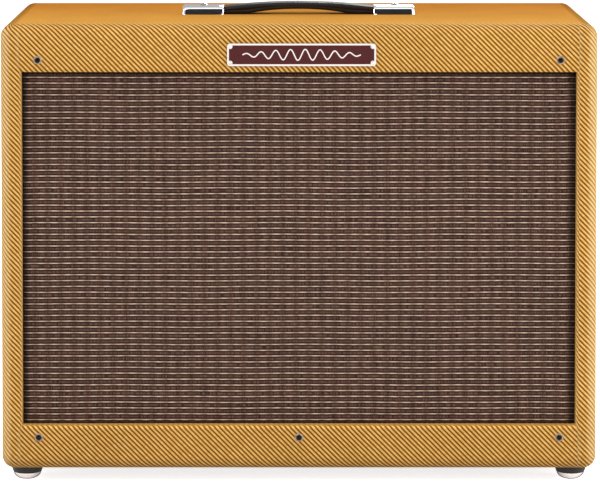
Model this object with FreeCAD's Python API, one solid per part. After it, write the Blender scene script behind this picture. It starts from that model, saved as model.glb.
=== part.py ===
"""Open-back 1x12 valve guitar combo amplifier, twill-covered, with rear controls.

Frame: millimetres, +X to the right seen from the front, +Y towards the back, +Z up.
Origin: on the floor plane, centred between the four feet and on the cabinet's width and depth.
"""
import FreeCAD, Part
import math
import os

Vec = FreeCAD.Vector
ORIGIN = Vec(0, 0, 0)
X_AXIS, Y_AXIS, Z_AXIS = Vec(1, 0, 0), Vec(0, 1, 0), Vec(0, 0, 1)
FRONT, REAR = Vec(0, -1, 0), Vec(0, 1, 0)

# ---------------------------------------------------------------- driving dimensions
CAB_W, CAB_D = 597.0, 267.0  # cabinet over the covering
CAB_H = 448.0                # the same, without feet and handle
FOOT_H = 16.0                # cabinet underside above the floor
EDGE_R = 12.7                # roundover on every outer edge
CLOTH_T = 1.0                # covering
BOARD_T = 18.5               # cabinet boards
FINGERS = 15                 # box-joint fingers along the depth
RAIL_T = 11.0                # front rails
LINER_T = 1.6                # covering turned over the front opening's edge
OPEN_LO, OPEN_HI = 44.8, 400.5       # finished front opening above the cabinet's underside
BAFFLE_T = 18.0
CUTOUT_R = 141.0             # speaker hole in the baffle
SPEAKER_LIFT = 224.35        # speaker axis above the cabinet's underside
SCREW_X = 260.8              # front screws from the centre line
SCREW_LO, SCREW_HI = 33.2, 412.6     # front screws above the cabinet's underside
BADGE_W, BADGE_H, BADGE_X = 148.4, 22.5, 2.5
BADGE_DROP = 29.75           # badge centre below the cabinet top
FOOT_X, FOOT_Y, FOOT_R = 275.5, 98.0, 16.0
HANDLE_Y = -5.5
CAP_IN, CAP_OUT, CAP_W = 77.9, 121.0, 28.0   # handle end cap: inner end, outer end, width
STRAP_W = 24.0
CHASSIS_H = 89.0
CHASSIS_X = 255.0            # half the chassis length
CHASSIS_Y0 = 45.0            # chassis front wall
CHASSIS_DROP = 1.5           # chassis below the top board
WALL = 1.5                   # chassis sheet
PANEL_Y = 109.5              # side of the control panel plate towards the chassis
PANEL_T = 1.2
VALVE_Y = 78.0
KNOB_X = {"volume": -104.0, "treble": -58.0, "bass": -12.0, "master": 34.0}
JACK_X = (-150.0, -182.0, -226.0)
TOGGLE_X = {"power": 152.0, "standby": 118.0}
JEWEL_X, FUSE_X, INLET_X = 80.0, 184.0, 227.0
OCTAL_X = (-46.0, 12.0, 72.0)
NOVAL_X = (-140.0, -98.0)
BACK_Y0, BACK_Y1 = 119.0, 131.0      # lower back panel
BACK_TOP = 154.0             # its top above the cabinet's underside

# ---------------------------------------------------------------- derived levels
HALF_W = CAB_W / 2
FRONT_Y, REAR_Y = -CAB_D / 2, CAB_D / 2
BASE_Z, TOP_Z = FOOT_H, FOOT_H + CAB_H
IN_X = HALF_W - CLOTH_T - BOARD_T
IN_Z0, IN_Z1 = BASE_Z + CLOTH_T + BOARD_T, TOP_Z - CLOTH_T - BOARD_T
BOARD_Y0, BOARD_Y1 = FRONT_Y + CLOTH_T, REAR_Y - CLOTH_T
OPEN_X = IN_X - LINER_T
OPEN_Z0, OPEN_Z1 = BASE_Z + OPEN_LO, BASE_Z + OPEN_HI
RAIL_Y1 = BOARD_Y0 + RAIL_T
BAFFLE_Y0 = RAIL_Y1 + 1.4
SPEAKER_AT = Vec(0, 0, BASE_Z + SPEAKER_LIFT)
PANEL_Z1 = IN_Z1 - CHASSIS_DROP
PANEL_Z0 = PANEL_Z1 - CHASSIS_H
PANEL_Z = (PANEL_Z0 + PANEL_Z1) / 2
FACE_Y = PANEL_Y + PANEL_T
CHASSIS_Y1 = PANEL_Y - 0.1 - WALL    # inner side of the chassis rear wall
CHASSIS_Z = PANEL_Z0                 # underside of the chassis


# ---------------------------------------------------------------- helpers
def box(x0, x1, y0, y1, z0, z1):
    return Part.makeBox(x1 - x0, y1 - y0, z1 - z0, Vec(x0, y0, z0))


def block(width, depth, z0, z1, x=0.0, y=0.0):
    """Box centred on (x, y)."""
    return box(x - width / 2, x + width / 2, y - depth / 2, y + depth / 2, z0, z1)


def cylinder(radius, height, at=ORIGIN, direction=Z_AXIS):
    return Part.makeCylinder(radius, height, at, direction)


def fuse(shapes):
    return shapes[0].fuse(shapes[1:]).removeSplitter()


def cut_all(shape, tools):
    for tool in tools:
        shape = shape.cut(tool)
    return shape


def corners(x, y):
    """The four points at plus and minus x and y."""
    return [Vec(sx * x, sy * y, 0) for sx in (-1, 1) for sy in (-1, 1)]


def both_sides(shape):
    return [shape, shape.mirror(ORIGIN, X_AXIS)]


def edges_along(shape, axis, test=lambda middle: True):
    """Straight edges parallel to the axis whose midpoint passes the test."""
    found = []
    for edge in shape.Edges:
        start, end = edge.Vertexes[0].Point, edge.Vertexes[-1].Point
        run = end - start
        if run.Length < 1e-6:
            continue
        run.normalize()
        parallel = abs(abs(run.dot(axis)) - 1) < 1e-6
        if parallel and edge.Curve.TypeId == "Part::GeomLine" and test((start + end) * 0.5):
            found.append(edge)
    return found


def round_rear(shape, radius, y):
    """Fillets the edges that lie wholly behind y."""
    return shape.makeFillet(radius, [e for e in shape.Edges if e.BoundBox.YMin > y])


def rounded_box(x0, x1, y0, y1, z0, z1, radius, axis=Z_AXIS):
    shape = box(x0, x1, y0, y1, z0, z1)
    return shape.makeFillet(radius, edges_along(shape, axis))


def rounded_block(width, depth, z0, z1, radius, x=0.0):
    """Box centred on (x, 0) with its upright edges rounded."""
    return rounded_box(x - width / 2, x + width / 2, -depth / 2, depth / 2, z0, z1, radius)


def closed_polygon(points):
    return Part.makePolygon(points + [points[0]])


def prism(points, run):
    return Part.Face(closed_polygon(points)).extrude(run)


def line_edge(start, end):
    return Part.LineSegment(start, end).toShape()


def arc_edge(start, middle, end):
    return Part.Arc(start, middle, end).toShape()


def revolve(profile):
    """Solid of revolution about Z from closed (radius, z) points.

    ("arc", middle, end) is an arc from the point before it.
    """
    def at(point):
        return Vec(point[0], 0, point[1])

    edges = []
    last = profile[0]
    for item in profile[1:] + profile[:1]:
        if item[0] == "arc":
            edges.append(arc_edge(at(last), at(item[1]), at(item[2])))
            last = item[2]
        else:
            edges.append(line_edge(at(last), at(item)))
            last = item
    solid = Part.Face(Part.Wire(Part.__sortEdges__(edges))).revolve(ORIGIN, Z_AXIS, 360)
    if solid.Volume < 0:
        solid.reverse()
    return solid


def ring(inner_r, outer_r, z0, z1):
    return revolve([(inner_r, z0), (outer_r, z0), (outer_r, z1), (inner_r, z1)])


def outline_around(points, thickness):
    """Closed mitred outline, thickness wide, around an open polyline."""
    normals = []
    for (x0, y0), (x1, y1) in zip(points, points[1:]):
        length = math.hypot(x1 - x0, y1 - y0)
        normals.append(((y0 - y1) / length, (x1 - x0) / length))
    left, right = [], []
    for i, (x, y) in enumerate(points):
        near = normals[max(i - 1, 0):i + 1]
        mitre_x = sum(normal[0] for normal in near)
        mitre_y = sum(normal[1] for normal in near)
        length = math.hypot(mitre_x, mitre_y)
        mitre_x, mitre_y = mitre_x / length, mitre_y / length
        cosine = mitre_x * near[0][0] + mitre_y * near[0][1]
        # the limit keeps sharp bends from throwing long spikes
        reach = thickness / 2 / max(cosine, 0.35)
        left.append((x + mitre_x * reach, y + mitre_y * reach))
        right.append((x - mitre_x * reach, y - mitre_y * reach))
    return left + right[::-1]


def revolve_sheet(points, thickness):
    return revolve(outline_around(points, thickness))


def place(shape, at, direction=Z_AXIS, spin=0.0):
    """Copy with +Z turned to the direction, spun about its own axis first."""
    copy = shape.copy()
    turn = FreeCAD.Rotation(Z_AXIS, direction).multiply(FreeCAD.Rotation(Z_AXIS, spin))
    copy.Placement = FreeCAD.Placement(at, turn).multiply(copy.Placement)
    return copy


def hexagon(flats, height, z=0.0, hole_r=0.0):
    """Hexagon nut or head with chamfered corners, rising from z."""
    corner_r = flats / math.sqrt(3)
    angles = [math.radians(60 * i) for i in range(6)]
    points = [Vec(corner_r * math.cos(a), corner_r * math.sin(a), 0) for a in angles]
    shape = prism(points, Vec(0, 0, height))
    shape = shape.common(revolve([
        (0, 0), (corner_r * 0.94, 0), (corner_r, height * 0.22),
        (corner_r, height * 0.78), (corner_r * 0.94, height), (0, height)]))
    if hole_r:
        shape = shape.cut(cylinder(hole_r, height + 2, Vec(0, 0, -1)))
    shape.translate(Vec(0, 0, z))
    return shape


def cut_cross(shape, length, width, z0, z1, turn=0.0):
    """Cuts a cross recess on the Z axis."""
    for angle in (turn, turn + 90):
        slot = block(length, width, z0, z1)
        slot.rotate(ORIGIN, Z_AXIS, angle)
        shape = shape.cut(slot)
    return shape


def screw_body(head_r, shank_r, length, crown, grow=0.0):
    """Oval-head wood screw without recess, +Z out of the surface, z = 0 at the surface."""
    rim_r, stem_r = head_r + grow, shank_r + grow
    return revolve([
        (0, crown + grow), ("arc", (head_r * 0.62, crown * 0.66 + grow), (rim_r, 0.2)),
        (rim_r, -0.15), (stem_r, -0.15 - (head_r - shank_r) - grow * 0.4),
        (stem_r, -length + 4), (0.25 + grow, -length - grow), (0, -length - grow)])


def oval_screw(head_r, shank_r, length, crown):
    body = screw_body(head_r, shank_r, length, crown)
    return cut_cross(body, head_r * 1.2, 1.1, crown - 2.0, crown + 1)


def save(name, *shapes):
    """Writes the solids of the shapes as one STEP file."""
    solids = [solid for shape in shapes for solid in shape.Solids]
    for solid in solids:
        if solid.Volume < 0:
            solid.reverse()
    result = solids[0] if len(solids) == 1 else Part.makeCompound(solids)
    result.exportStep(os.path.join("parts", name + ".step"))


# ---------------------------------------------------------------- cabinet
def cabinet_body(inset):
    """Solid block of the cabinet, inset from the covering's outside, all edges rounded."""
    body = box(-HALF_W + inset, HALF_W - inset, FRONT_Y + inset, REAR_Y - inset,
               BASE_Z + inset, TOP_Z - inset)
    return body.makeFillet(EDGE_R - inset, body.Edges)


def finger_board(tube, main, joints, first_finger):
    """One board of the tube: its plain part and every other finger at the (x, z) joints."""
    pitch = (BOARD_Y1 - BOARD_Y0) / FINGERS
    pieces = [main]
    for x0, x1, z0, z1 in joints:
        for i in range(first_finger, FINGERS, 2):
            pieces.append(box(x0, x1, BOARD_Y0 + i * pitch, BOARD_Y0 + (i + 1) * pitch, z0, z1))
    return tube.common(fuse(pieces))


def cabinet_boards(core):
    """Top, bottom, left and right boards."""
    tube = core.cut(box(-IN_X, IN_X, FRONT_Y - 5, REAR_Y + 5, IN_Z0, IN_Z1))
    left, right = (-HALF_W, -IN_X), (IN_X, HALF_W)
    middle_x, middle_z = (-IN_X, IN_X), (IN_Z0, IN_Z1)
    low, high = (BASE_Z, IN_Z0), (IN_Z1, TOP_Z)

    def board(span_x, span_z, joints, first_finger):
        main = box(*span_x, BOARD_Y0, BOARD_Y1, *span_z)
        return finger_board(tube, main, joints, first_finger)

    return (board(middle_x, high, (left + high, right + high), 0),
            board(middle_x, low, (left + low, right + low), 0),
            board(left, middle_z, (left + high, left + low), 1),
            board(right, middle_z, (right + high, right + low), 1))


def covering(core):
    """Cloth skin over the box and front rails, turned over the edges of both openings."""
    opening = box(-OPEN_X, OPEN_X, FRONT_Y - 5, RAIL_Y1 + 5, OPEN_Z0, OPEN_Z1)
    skin = cabinet_body(0).cut(core).cut(opening)
    skin = skin.cut(box(-IN_X + 1, IN_X - 1, REAR_Y - 8, REAR_Y + 5, IN_Z0 + 1, IN_Z1 - 1))
    front_liner = box(-IN_X, IN_X, FRONT_Y + 0.4, RAIL_Y1,
                      OPEN_Z0 - LINER_T, OPEN_Z1 + LINER_T).cut(opening)
    rear_liner = box(-IN_X, IN_X, REAR_Y - 14.6, REAR_Y - 0.4, IN_Z0, IN_Z1).cut(
        box(-IN_X + 1, IN_X - 1, REAR_Y - 30, REAR_Y + 5, IN_Z0 + 1, IN_Z1 - 1))
    skin = fuse([skin, front_liner, rear_liner])
    # butt seams where the rail cloth meets the side cloth
    for x in (-IN_X, IN_X):
        for z0, z1 in ((OPEN_Z1 + 0.1, TOP_Z - EDGE_R + 3), (BASE_Z + EDGE_R - 3, OPEN_Z0 - 0.1)):
            skin = skin.cut(box(x - 0.3, x + 0.3, FRONT_Y - 1, FRONT_Y + 0.35, z0, z1))
    return skin


def baffle_board():
    baffle = box(-IN_X + 0.6, IN_X - 0.6, BAFFLE_Y0, BAFFLE_Y0 + BAFFLE_T,
                 IN_Z0 + 0.6, IN_Z1 - 0.6)
    return baffle.cut(cylinder(CUTOUT_R, 40, SPEAKER_AT + Vec(0, BAFFLE_Y0 - 5, 0), REAR))


def grille_cloth():
    return box(-IN_X + 1.2, IN_X - 1.2, RAIL_Y1 + 0.2, RAIL_Y1 + 1.2, IN_Z0 + 8, IN_Z1 - 8)


FRONT_SCREW = dict(head_r=4.1, shank_r=2.0, length=26.0, crown=1.5)
FRONT_SCREW_AT = [Vec(x, FRONT_Y, BASE_Z + SCREW_HI) for x in (-SCREW_X, SCREW_X)] + \
                 [Vec(x, FRONT_Y, BASE_Z + SCREW_LO) for x in (-SCREW_X, 0.0, SCREW_X)]


def front_screws():
    screw = oval_screw(**FRONT_SCREW)
    return [place(screw, at, FRONT, 25 * i) for i, at in enumerate(FRONT_SCREW_AT)]


def front_screw_holes():
    hole = screw_body(**FRONT_SCREW, grow=0.15)
    return [place(hole, at, FRONT) for at in FRONT_SCREW_AT]


# ---------------------------------------------------------------- handle
CAP_WALL = 1.3
HANDLE_SCREW_X = (CAP_IN + CAP_OUT) / 2
HANDLE_SCREW_AT = [Vec(s * HANDLE_SCREW_X, HANDLE_Y, TOP_Z) for s in (-1, 1)]
HANDLE_AT = Vec(0, HANDLE_Y, TOP_Z)


def cap_solid(x0, x1, half, side_h, crown_h, end_r, top_r):
    """Crowned block along X with a rounded outer end."""
    section = Part.Wire([
        line_edge(Vec(x0, -half, 0), Vec(x0, -half, side_h)),
        arc_edge(Vec(x0, -half, side_h), Vec(x0, 0, crown_h), Vec(x0, half, side_h)),
        line_edge(Vec(x0, half, side_h), Vec(x0, half, 0)),
        line_edge(Vec(x0, half, 0), Vec(x0, -half, 0))])
    shape = Part.Face(section).extrude(Vec(x1 - x0, 0, 0))
    shape = shape.makeFillet(end_r, edges_along(shape, Z_AXIS, lambda middle: middle.x > x1 - 0.1))
    top_edges = [e for e in shape.Edges
                 if e.BoundBox.ZMin > side_h - 0.01 and e.CenterOfMass.x > x0 + 0.5]
    for radius in (top_r, top_r * 0.6, 0.5):
        # guards against a top fillet too large for the crown: the next radius is smaller
        try:
            rounded = shape.makeFillet(radius, top_edges)
            if rounded.isValid() and rounded.Volume > 0:
                return rounded
        except Exception:
            pass
    return shape


def handle_caps():
    """Hollow end caps, open towards the strap, countersunk for the handle screws."""
    inner_half = CAP_W / 2 - CAP_WALL
    inner_end = CAP_OUT - CAP_WALL
    cap = cap_solid(CAP_IN, CAP_OUT, CAP_W / 2, side_h=5.6, crown_h=9.3, end_r=6.0, top_r=1.8)
    cap = cap.cut(cap_solid(CAP_IN - 3, inner_end, inner_half,
                            side_h=4.5, crown_h=8.0, end_r=4.8, top_r=0.9))
    cap = cap.cut(box(CAP_IN - 5, inner_end - 4.9, -inner_half, inner_half, -1, 0.4))
    cap = cap.cut(cylinder(2.7, 30, Vec(HANDLE_SCREW_X, 0, -5)))
    sink = revolve([(0, 6.6), (2.7, 6.6), (5.1, 9.0), (5.1, 12), (0, 12)])
    cap = cap.cut(place(sink, Vec(HANDLE_SCREW_X, 0, 0)))
    return [place(side, HANDLE_AT + Vec(0, 0, 0.05)) for side in both_sides(cap)]


def handle_strap():
    """Arched, crowned bar between the caps."""
    end_x = CAP_IN - 0.6
    lower = [Vec(-end_x, 0, 0.6), Vec(0, 0, 5.1), Vec(end_x, 0, 0.6)]
    upper = [Vec(end_x, 0, 8.0), Vec(0, 0, 13.0), Vec(-end_x, 0, 8.0)]
    outline = Part.Wire([arc_edge(*lower), line_edge(lower[2], upper[0]),
                         arc_edge(*upper), line_edge(upper[2], lower[0])])
    strap = Part.Face(outline).extrude(Vec(0, STRAP_W, 0))
    strap.translate(Vec(0, -STRAP_W / 2, 0))
    strap = strap.makeFillet(2.4, [e for e in strap.Edges if e.Curve.TypeId != "Part::GeomLine"])
    return place(strap, HANDLE_AT)


def handle_tongues():
    """Flat strap ends inside the caps, slotted for the screws."""
    slot_r, slot_x = 2.9, 6
    tongue = rounded_box(CAP_IN + 1.0, CAP_OUT - 4.0, -11.0, 11.0, 0.45, 3.7, 4.0)
    tongue = tongue.cut(fuse(
        [block(2 * slot_x, 2 * slot_r, -1, 8, x=HANDLE_SCREW_X)] +
        [cylinder(slot_r, 9, Vec(HANDLE_SCREW_X + dx, 0, -1)) for dx in (-slot_x, slot_x)]))
    return [place(side, HANDLE_AT) for side in both_sides(tongue)]


def handle_screws():
    """Oval heads on the caps, nuts and washers under the top board."""
    screw = revolve([(0, 11.0), ("arc", (3.0, 10.55), (4.9, 9.45)), (4.9, 9.38), (2.4, 9.38),
                     (2.4, -25.5), (0, -25.5)])
    screw = cut_cross(screw, 6.0, 1.2, 9.7, 12, turn=20)
    screw = fuse([screw, hexagon(9.5, 3.6, z=-24.3), cylinder(7.0, 1.0, Vec(0, 0, -20.7))])
    return [place(screw, at) for at in HANDLE_SCREW_AT]


def handle_screw_holes():
    return [cylinder(2.65, 40, at + Vec(0, 0, -30)) for at in HANDLE_SCREW_AT]


# ---------------------------------------------------------------- badge, drawn in XY, +Z out
BADGE_AT = Vec(BADGE_X, FRONT_Y - 0.05, TOP_Z - BADGE_DROP)
BADGE_T = 2.4
BADGE_RIM = 1.8
BADGE_HOLE_R = 0.85
BADGE_PINS = corners(BADGE_W / 2 - 3.1, BADGE_H / 2 - 3.1)
BADGE_PIN_AT = [BADGE_AT + Vec(pin.x, 0, pin.y) for pin in BADGE_PINS]
WAVE_L, WAVE_CYCLES, WAVE_STEPS = 118.0, 8, 240
WAVE_END, WAVE_SWELL = 0.9, 4.6      # amplitude at the ends, and added in the middle


def badge_wave():
    """Raised ornament: a wave that swells towards its middle."""
    points = []
    for i in range(WAVE_STEPS + 1):
        x = -WAVE_L / 2 + WAVE_L * i / WAVE_STEPS
        swell = math.cos(math.pi * x / WAVE_L) if abs(x) < WAVE_L / 2 - 0.01 else 0.0
        amplitude = WAVE_END + WAVE_SWELL * swell
        points.append((x, amplitude * math.sin(2 * math.pi * x / (WAVE_L / WAVE_CYCLES))))
    return prism([Vec(x, y, 1.2) for x, y in outline_around(points, 1.2)], Vec(0, 0, 1.0))


def badge_plate():
    plate = rounded_block(BADGE_W, BADGE_H, 0, BADGE_T, 3.0)
    plate = plate.cut(block(BADGE_W - 2 * BADGE_RIM, BADGE_H - 2 * BADGE_RIM, 1.5, 4))
    plate = fuse([plate, badge_wave()] + [cylinder(2.3, BADGE_T, at) for at in BADGE_PINS])
    holes = [cylinder(BADGE_HOLE_R, 6, at + Vec(0, 0, -1)) for at in BADGE_PINS]
    return place(cut_all(plate, holes), BADGE_AT, FRONT)


def badge_pins():
    pin = revolve([(0, 3.4), ("arc", (1.15, 3.05), (1.65, 2.42)), (0.75, 2.42), (0.75, -7.5),
                   (0, -9)])
    return [place(pin, at, FRONT) for at in BADGE_PIN_AT]


def badge_pin_holes():
    return [cylinder(BADGE_HOLE_R, 20, at + Vec(0, 12, 0), FRONT) for at in BADGE_PIN_AT]


# ---------------------------------------------------------------- feet
FEET_AT = corners(FOOT_X, FOOT_Y)


def foot_cushions():
    cushion = revolve([
        (2.2, 7.0), (14.3, 7.0), ("arc", (15.4, 10.0), (FOOT_R, 13.5)), (FOOT_R, FOOT_H - 0.6),
        (15.4, FOOT_H - 0.02), (2.2, FOOT_H - 0.02)])
    return [place(cushion, at) for at in FEET_AT]


def foot_glides():
    """Domed glides, each with a nail into the cabinet."""
    glide = revolve([(0, 0), (6.5, 0), ("arc", (11.2, 1.9), (14.1, 6.2)), (14.1, 6.95),
                     (2.0, 6.95), (2.0, 26.0), (0, 29.5)])
    return [place(glide, at) for at in FEET_AT]


def foot_holes():
    return [cylinder(2.1, 30, at + Vec(0, 0, 5)) for at in FEET_AT]


# ---------------------------------------------------------------- speaker
# Built about Z: profiles are (radius, z), where z becomes the frame's Y.
SPEAKER_ANGLES = [22.5 + 45 * i for i in range(8)]
SPEAKER_BOLT_R = 148.75
SPEAKER_BOLT_AT = [Vec(SPEAKER_BOLT_R * math.cos(math.radians(a)),
                       SPEAKER_BOLT_R * math.sin(math.radians(a)), 0) for a in SPEAKER_ANGLES]


def mount(shape):
    """Turns a speaker piece from the Z axis onto the speaker's axis in the cabinet."""
    return place(shape, SPEAKER_AT, REAR)


def basket_window(inner_r, outer_r, half_angle, z0, z1, corner_r):
    """Ring sector around +X with rounded corners."""
    angle = math.radians(half_angle)

    def at(radius, turn):
        return Vec(radius * math.cos(turn), radius * math.sin(turn), z0)

    points = [at(inner_r, -angle), at(outer_r, -angle), at(outer_r, angle), at(inner_r, angle)]
    outline = Part.Wire([
        line_edge(points[0], points[1]), arc_edge(points[1], Vec(outer_r, 0, z0), points[2]),
        line_edge(points[2], points[3]), arc_edge(points[3], Vec(inner_r, 0, z0), points[0])])
    shape = Part.Face(outline).extrude(Vec(0, 0, z1 - z0))
    return shape.makeFillet(corner_r, edges_along(shape, Z_AXIS))


def flange_holes():
    return [cylinder(2.7, 60, at + Vec(0, 0, -130)) for at in SPEAKER_BOLT_AT]


def speaker_basket():
    basket = revolve_sheet([
        (155.0, -99.6), (140.9, -99.6), (138.0, -88.0), (132.0, -82.0), (86.0, -33.0),
        (80.0, -28.2), (62.0, -28.2), (60.0, -20.8), (26.0, -20.8)], 1.6)
    for angle in SPEAKER_ANGLES:
        window = basket_window(90.5, 127.0, 15.0, -90, -30, 5.0)
        window.rotate(ORIGIN, Z_AXIS, angle)
        basket = basket.cut(window)
    return mount(cut_all(basket, flange_holes()))


def speaker_gasket():
    return mount(cut_all(ring(145.9, 154.8, -102.05, -100.45), flange_holes()))


def speaker_surround():
    return mount(revolve_sheet([
        (133.4, -97.5), (134.7, -99.3), (136.0, -97.4), (137.3, -99.4), (138.6, -98.6),
        (140.0, -100.74), (145.4, -100.74)], 0.45))


def speaker_cone():
    return mount(revolve_sheet([
        (22.9, -40.0), (26.5, -42.6), (45.0, -52.0), (70.0, -64.6), (100.0, -80.2),
        (133.0, -97.4)], 0.8))


def speaker_dust_cap():
    return mount(revolve([
        (0, -57.6), (0.5, -57.6), ("arc", (19.0, -54.0), (32.3, -46.9)), (32.3, -46.3),
        (31.9, -46.0), ("arc", (18.6, -53.1), (0.5, -56.7)), (0, -56.7)]))


def speaker_voice_coil():
    """Former with the thicker winding on its rear part."""
    return mount(revolve([(22.1, -46.0), (22.4, -46.0), (22.4, -22.5), (23.4, -22.5),
                          (23.4, -10.5), (22.1, -10.5)]))


def speaker_spider():
    """Corrugated disc between the voice coil and the basket."""
    points = [(22.9, -33.0), (25.0, -32.4)]
    for i in range(9):
        wave = 1.5 if i % 2 else -1.5
        points.append((27.5 + i * 4.0, -32.2 + wave + i * 0.28))
    points += [(63.2, -29.6), (69.0, -29.6)]
    return mount(revolve_sheet(points, 0.5))


def speaker_magnet():
    return mount(revolve([(30.0, -12.8), (72.0, -12.8), (73.0, -11.8), (73.0, 4.2),
                          (72.0, 5.2), (30.0, 5.2)]))


def speaker_motor_plates():
    """Top plate in front of the magnet; back plate with the pole piece."""
    top_plate = revolve([(23.9, -19.9), (59.4, -19.9), (60.0, -19.3), (60.0, -13.5),
                         (59.4, -12.9), (23.9, -12.9)])
    yoke = revolve([
        (0, -19.9), (21.0, -19.9), (21.6, -19.3), (21.6, 5.3), (59.0, 5.3), (60.0, 6.3),
        (60.0, 11.0), (58.7, 12.3), (8.0, 12.3), (6.0, 10.3), (0, 10.3)])
    return [mount(top_plate), mount(yoke)]


def speaker_bolts():
    """Countersunk bolts through the baffle, nuts and washers behind the flange."""
    bolt = revolve([(0, -119.9), (4.6, -119.9), (2.3, -117.4), (2.3, -91.5), (2.0, -91.0),
                    (0, -91.0)])
    bolt = cut_cross(bolt, 6.8, 1.0, -121, -118.7)
    bolt = fuse([bolt, cylinder(5.6, 1.0, Vec(0, 0, -98.75)), hexagon(8.0, 4.0, z=-97.75)])
    return [mount(place(bolt, at)) for at in SPEAKER_BOLT_AT]


def speaker_bolt_holes():
    hole = revolve([(0, -121.5), (5.4, -121.5), (4.9, -119.9), (2.6, -117.3), (2.6, -90),
                    (0, -90)])
    return [mount(place(hole, at)) for at in SPEAKER_BOLT_AT]


# terminal board on the basket's sloping side, above the speaker's axis
TERMINAL_NORMAL = Vec(0, 0.685, 0.729)
TERMINAL_NORMAL.normalize()
TERMINAL_AT = SPEAKER_AT + Vec(0, -56.6, 110.0) + TERMINAL_NORMAL * 0.45
TAB_X = 7.0


def speaker_terminals():
    pieces = [rounded_block(26, 16, 0, 2.0, 1.5)]
    pieces += [block(6.2, 0.8, 2.0, 10.0, x=x) for x in (-TAB_X, TAB_X)]
    pieces += [cylinder(1.6, 1.0, Vec(x, 4.6, 2.0)) for x in (-TAB_X, TAB_X)]
    return place(fuse(pieces), TERMINAL_AT, TERMINAL_NORMAL)


LEAD_X = 30
LEAD_R = 2.1
LEAD_HOLE_AT = Vec(LEAD_X, CHASSIS_Y0 - 0.05, CHASSIS_Z + 22)


def speaker_lead():
    """Cable from the chassis front wall to the right speaker terminal."""
    end = TERMINAL_AT + TERMINAL_NORMAL * 11.0 + Vec(TAB_X, 0, 0)
    stations = [
        LEAD_HOLE_AT + Vec(0, 6, 0), Vec(LEAD_X, 30, CHASSIS_Z + 18), Vec(34, 12, CHASSIS_Z - 14),
        Vec(26, -14, CHASSIS_Z - 24), Vec(12, -32, CHASSIS_Z - 8),
        end + TERMINAL_NORMAL * 6 + Vec(1, 4, 0), end]
    curve = Part.BSplineCurve()
    curve.interpolate(stations)
    tangent = curve.tangent(curve.FirstParameter)[0]
    section = Part.Wire(Part.makeCircle(LEAD_R, stations[0], tangent))
    return Part.Wire(curve.toShape()).makePipeShell([section], True, False)


# ---------------------------------------------------------------- cleats and lower back panel
BACK_X = IN_X - 2.6
BACK_Z0, BACK_Z1 = IN_Z0 + 2.6, BASE_Z + BACK_TOP
REAR_SCREW_X = IN_X - 9.5
BACK_SCREW_AT = [Vec(s * REAR_SCREW_X, BACK_Y1 + 1, z) for s in (-1, 1)
                 for z in (BACK_Z0 + 16, (BACK_Z0 + BACK_Z1) / 2, BACK_Z1 - 16)]
BACK_SCREW_AT += [Vec(x, BACK_Y1 + 1, IN_Z0 + 9.5) for x in (-110.0, 110.0)]
PANEL_SCREW_AT = [Vec(s * REAR_SCREW_X, FACE_Y, z) for s in (-1, 1)
                  for z in (PANEL_Z0 + 10, PANEL_Z1 - 10)]


def rear_cleats():
    """Strips inside the cabinet that the control panel and the back panel screw to."""
    y0, y1 = BACK_Y0 - 20, BACK_Y0 - 0.6
    upper = rounded_box(IN_X - 18.0, IN_X - 0.05, 85.0, CHASSIS_Y1 - 0.05,
                        PANEL_Z0 - 4, IN_Z1 - 0.6, 1.5)
    lower = rounded_box(IN_X - 18.0, IN_X - 0.05, y0, y1, IN_Z0 + 0.6, BACK_Z1 - 3, 1.5)
    bottom = box(-IN_X + 20, IN_X - 20, y0, y1, IN_Z0 + 0.05, IN_Z0 + 18)
    return both_sides(upper) + both_sides(lower) + [bottom]


def back_panel():
    return rounded_box(-BACK_X, BACK_X, BACK_Y0, BACK_Y1, BACK_Z0, BACK_Z1, 2.0, Y_AXIS)


def back_panel_covering(panel):
    cover = rounded_box(-BACK_X - 1, BACK_X + 1, BACK_Y0 + 0.5, BACK_Y1 + 1,
                        BACK_Z0 - 1, BACK_Z1 + 1, 3.0, Y_AXIS)
    return round_rear(cover, 0.9, BACK_Y1 + 0.9).cut(panel)


def rear_screws():
    """Screws of the back and control panels, then their cup washers."""
    cup = revolve([(2.5, 0.02), (6.4, 0.02), (6.2, 0.5), ("arc", (5.6, 1.5), (4.9, 1.9)),
                   (4.5, 1.9), (4.35, 1.5), (2.5, 0.3)])
    screw = oval_screw(head_r=3.8, shank_r=1.9, length=24.0, crown=1.4)
    points = BACK_SCREW_AT + PANEL_SCREW_AT
    screws = [place(screw, at + Vec(0, 2.0, 0), REAR, 17 * i) for i, at in enumerate(points)]
    return screws + [place(cup, at, REAR) for at in points]


def rear_screw_holes(points):
    hole = revolve([(0, 8), (2.15, 8), (2.15, -25), (0, -25)])
    return [place(hole, at, REAR) for at in points]


# ---------------------------------------------------------------- chassis and control panel
def chassis_sheet():
    """Tray below the top board: floor, front wall with lip, end walls, rear wall."""
    top = PANEL_Z1 - 2
    x, y0, y1, z = CHASSIS_X, CHASSIS_Y0, CHASSIS_Y1, CHASSIS_Z
    return fuse([
        box(-x, x, y0, y1, z, z + WALL),
        box(-x, x, y0, y0 + WALL, z, top),
        box(-x, x, y0, y0 + 12, top - WALL, top),
        box(-x, -x + WALL, y0, y1, z, top),
        box(x - WALL, x, y0, y1, z, top),
        box(-IN_X + 2.5, IN_X - 2.5, y1, y1 + WALL, PANEL_Z0, PANEL_Z1)])


def control_panel():
    panel = rounded_box(-IN_X + 3.0, IN_X - 3.0, PANEL_Y, FACE_Y,
                        PANEL_Z0 + 0.5, PANEL_Z1 - 0.5, 3.0, Y_AXIS)
    return round_rear(panel, 0.5, FACE_Y - 0.01)


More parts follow.
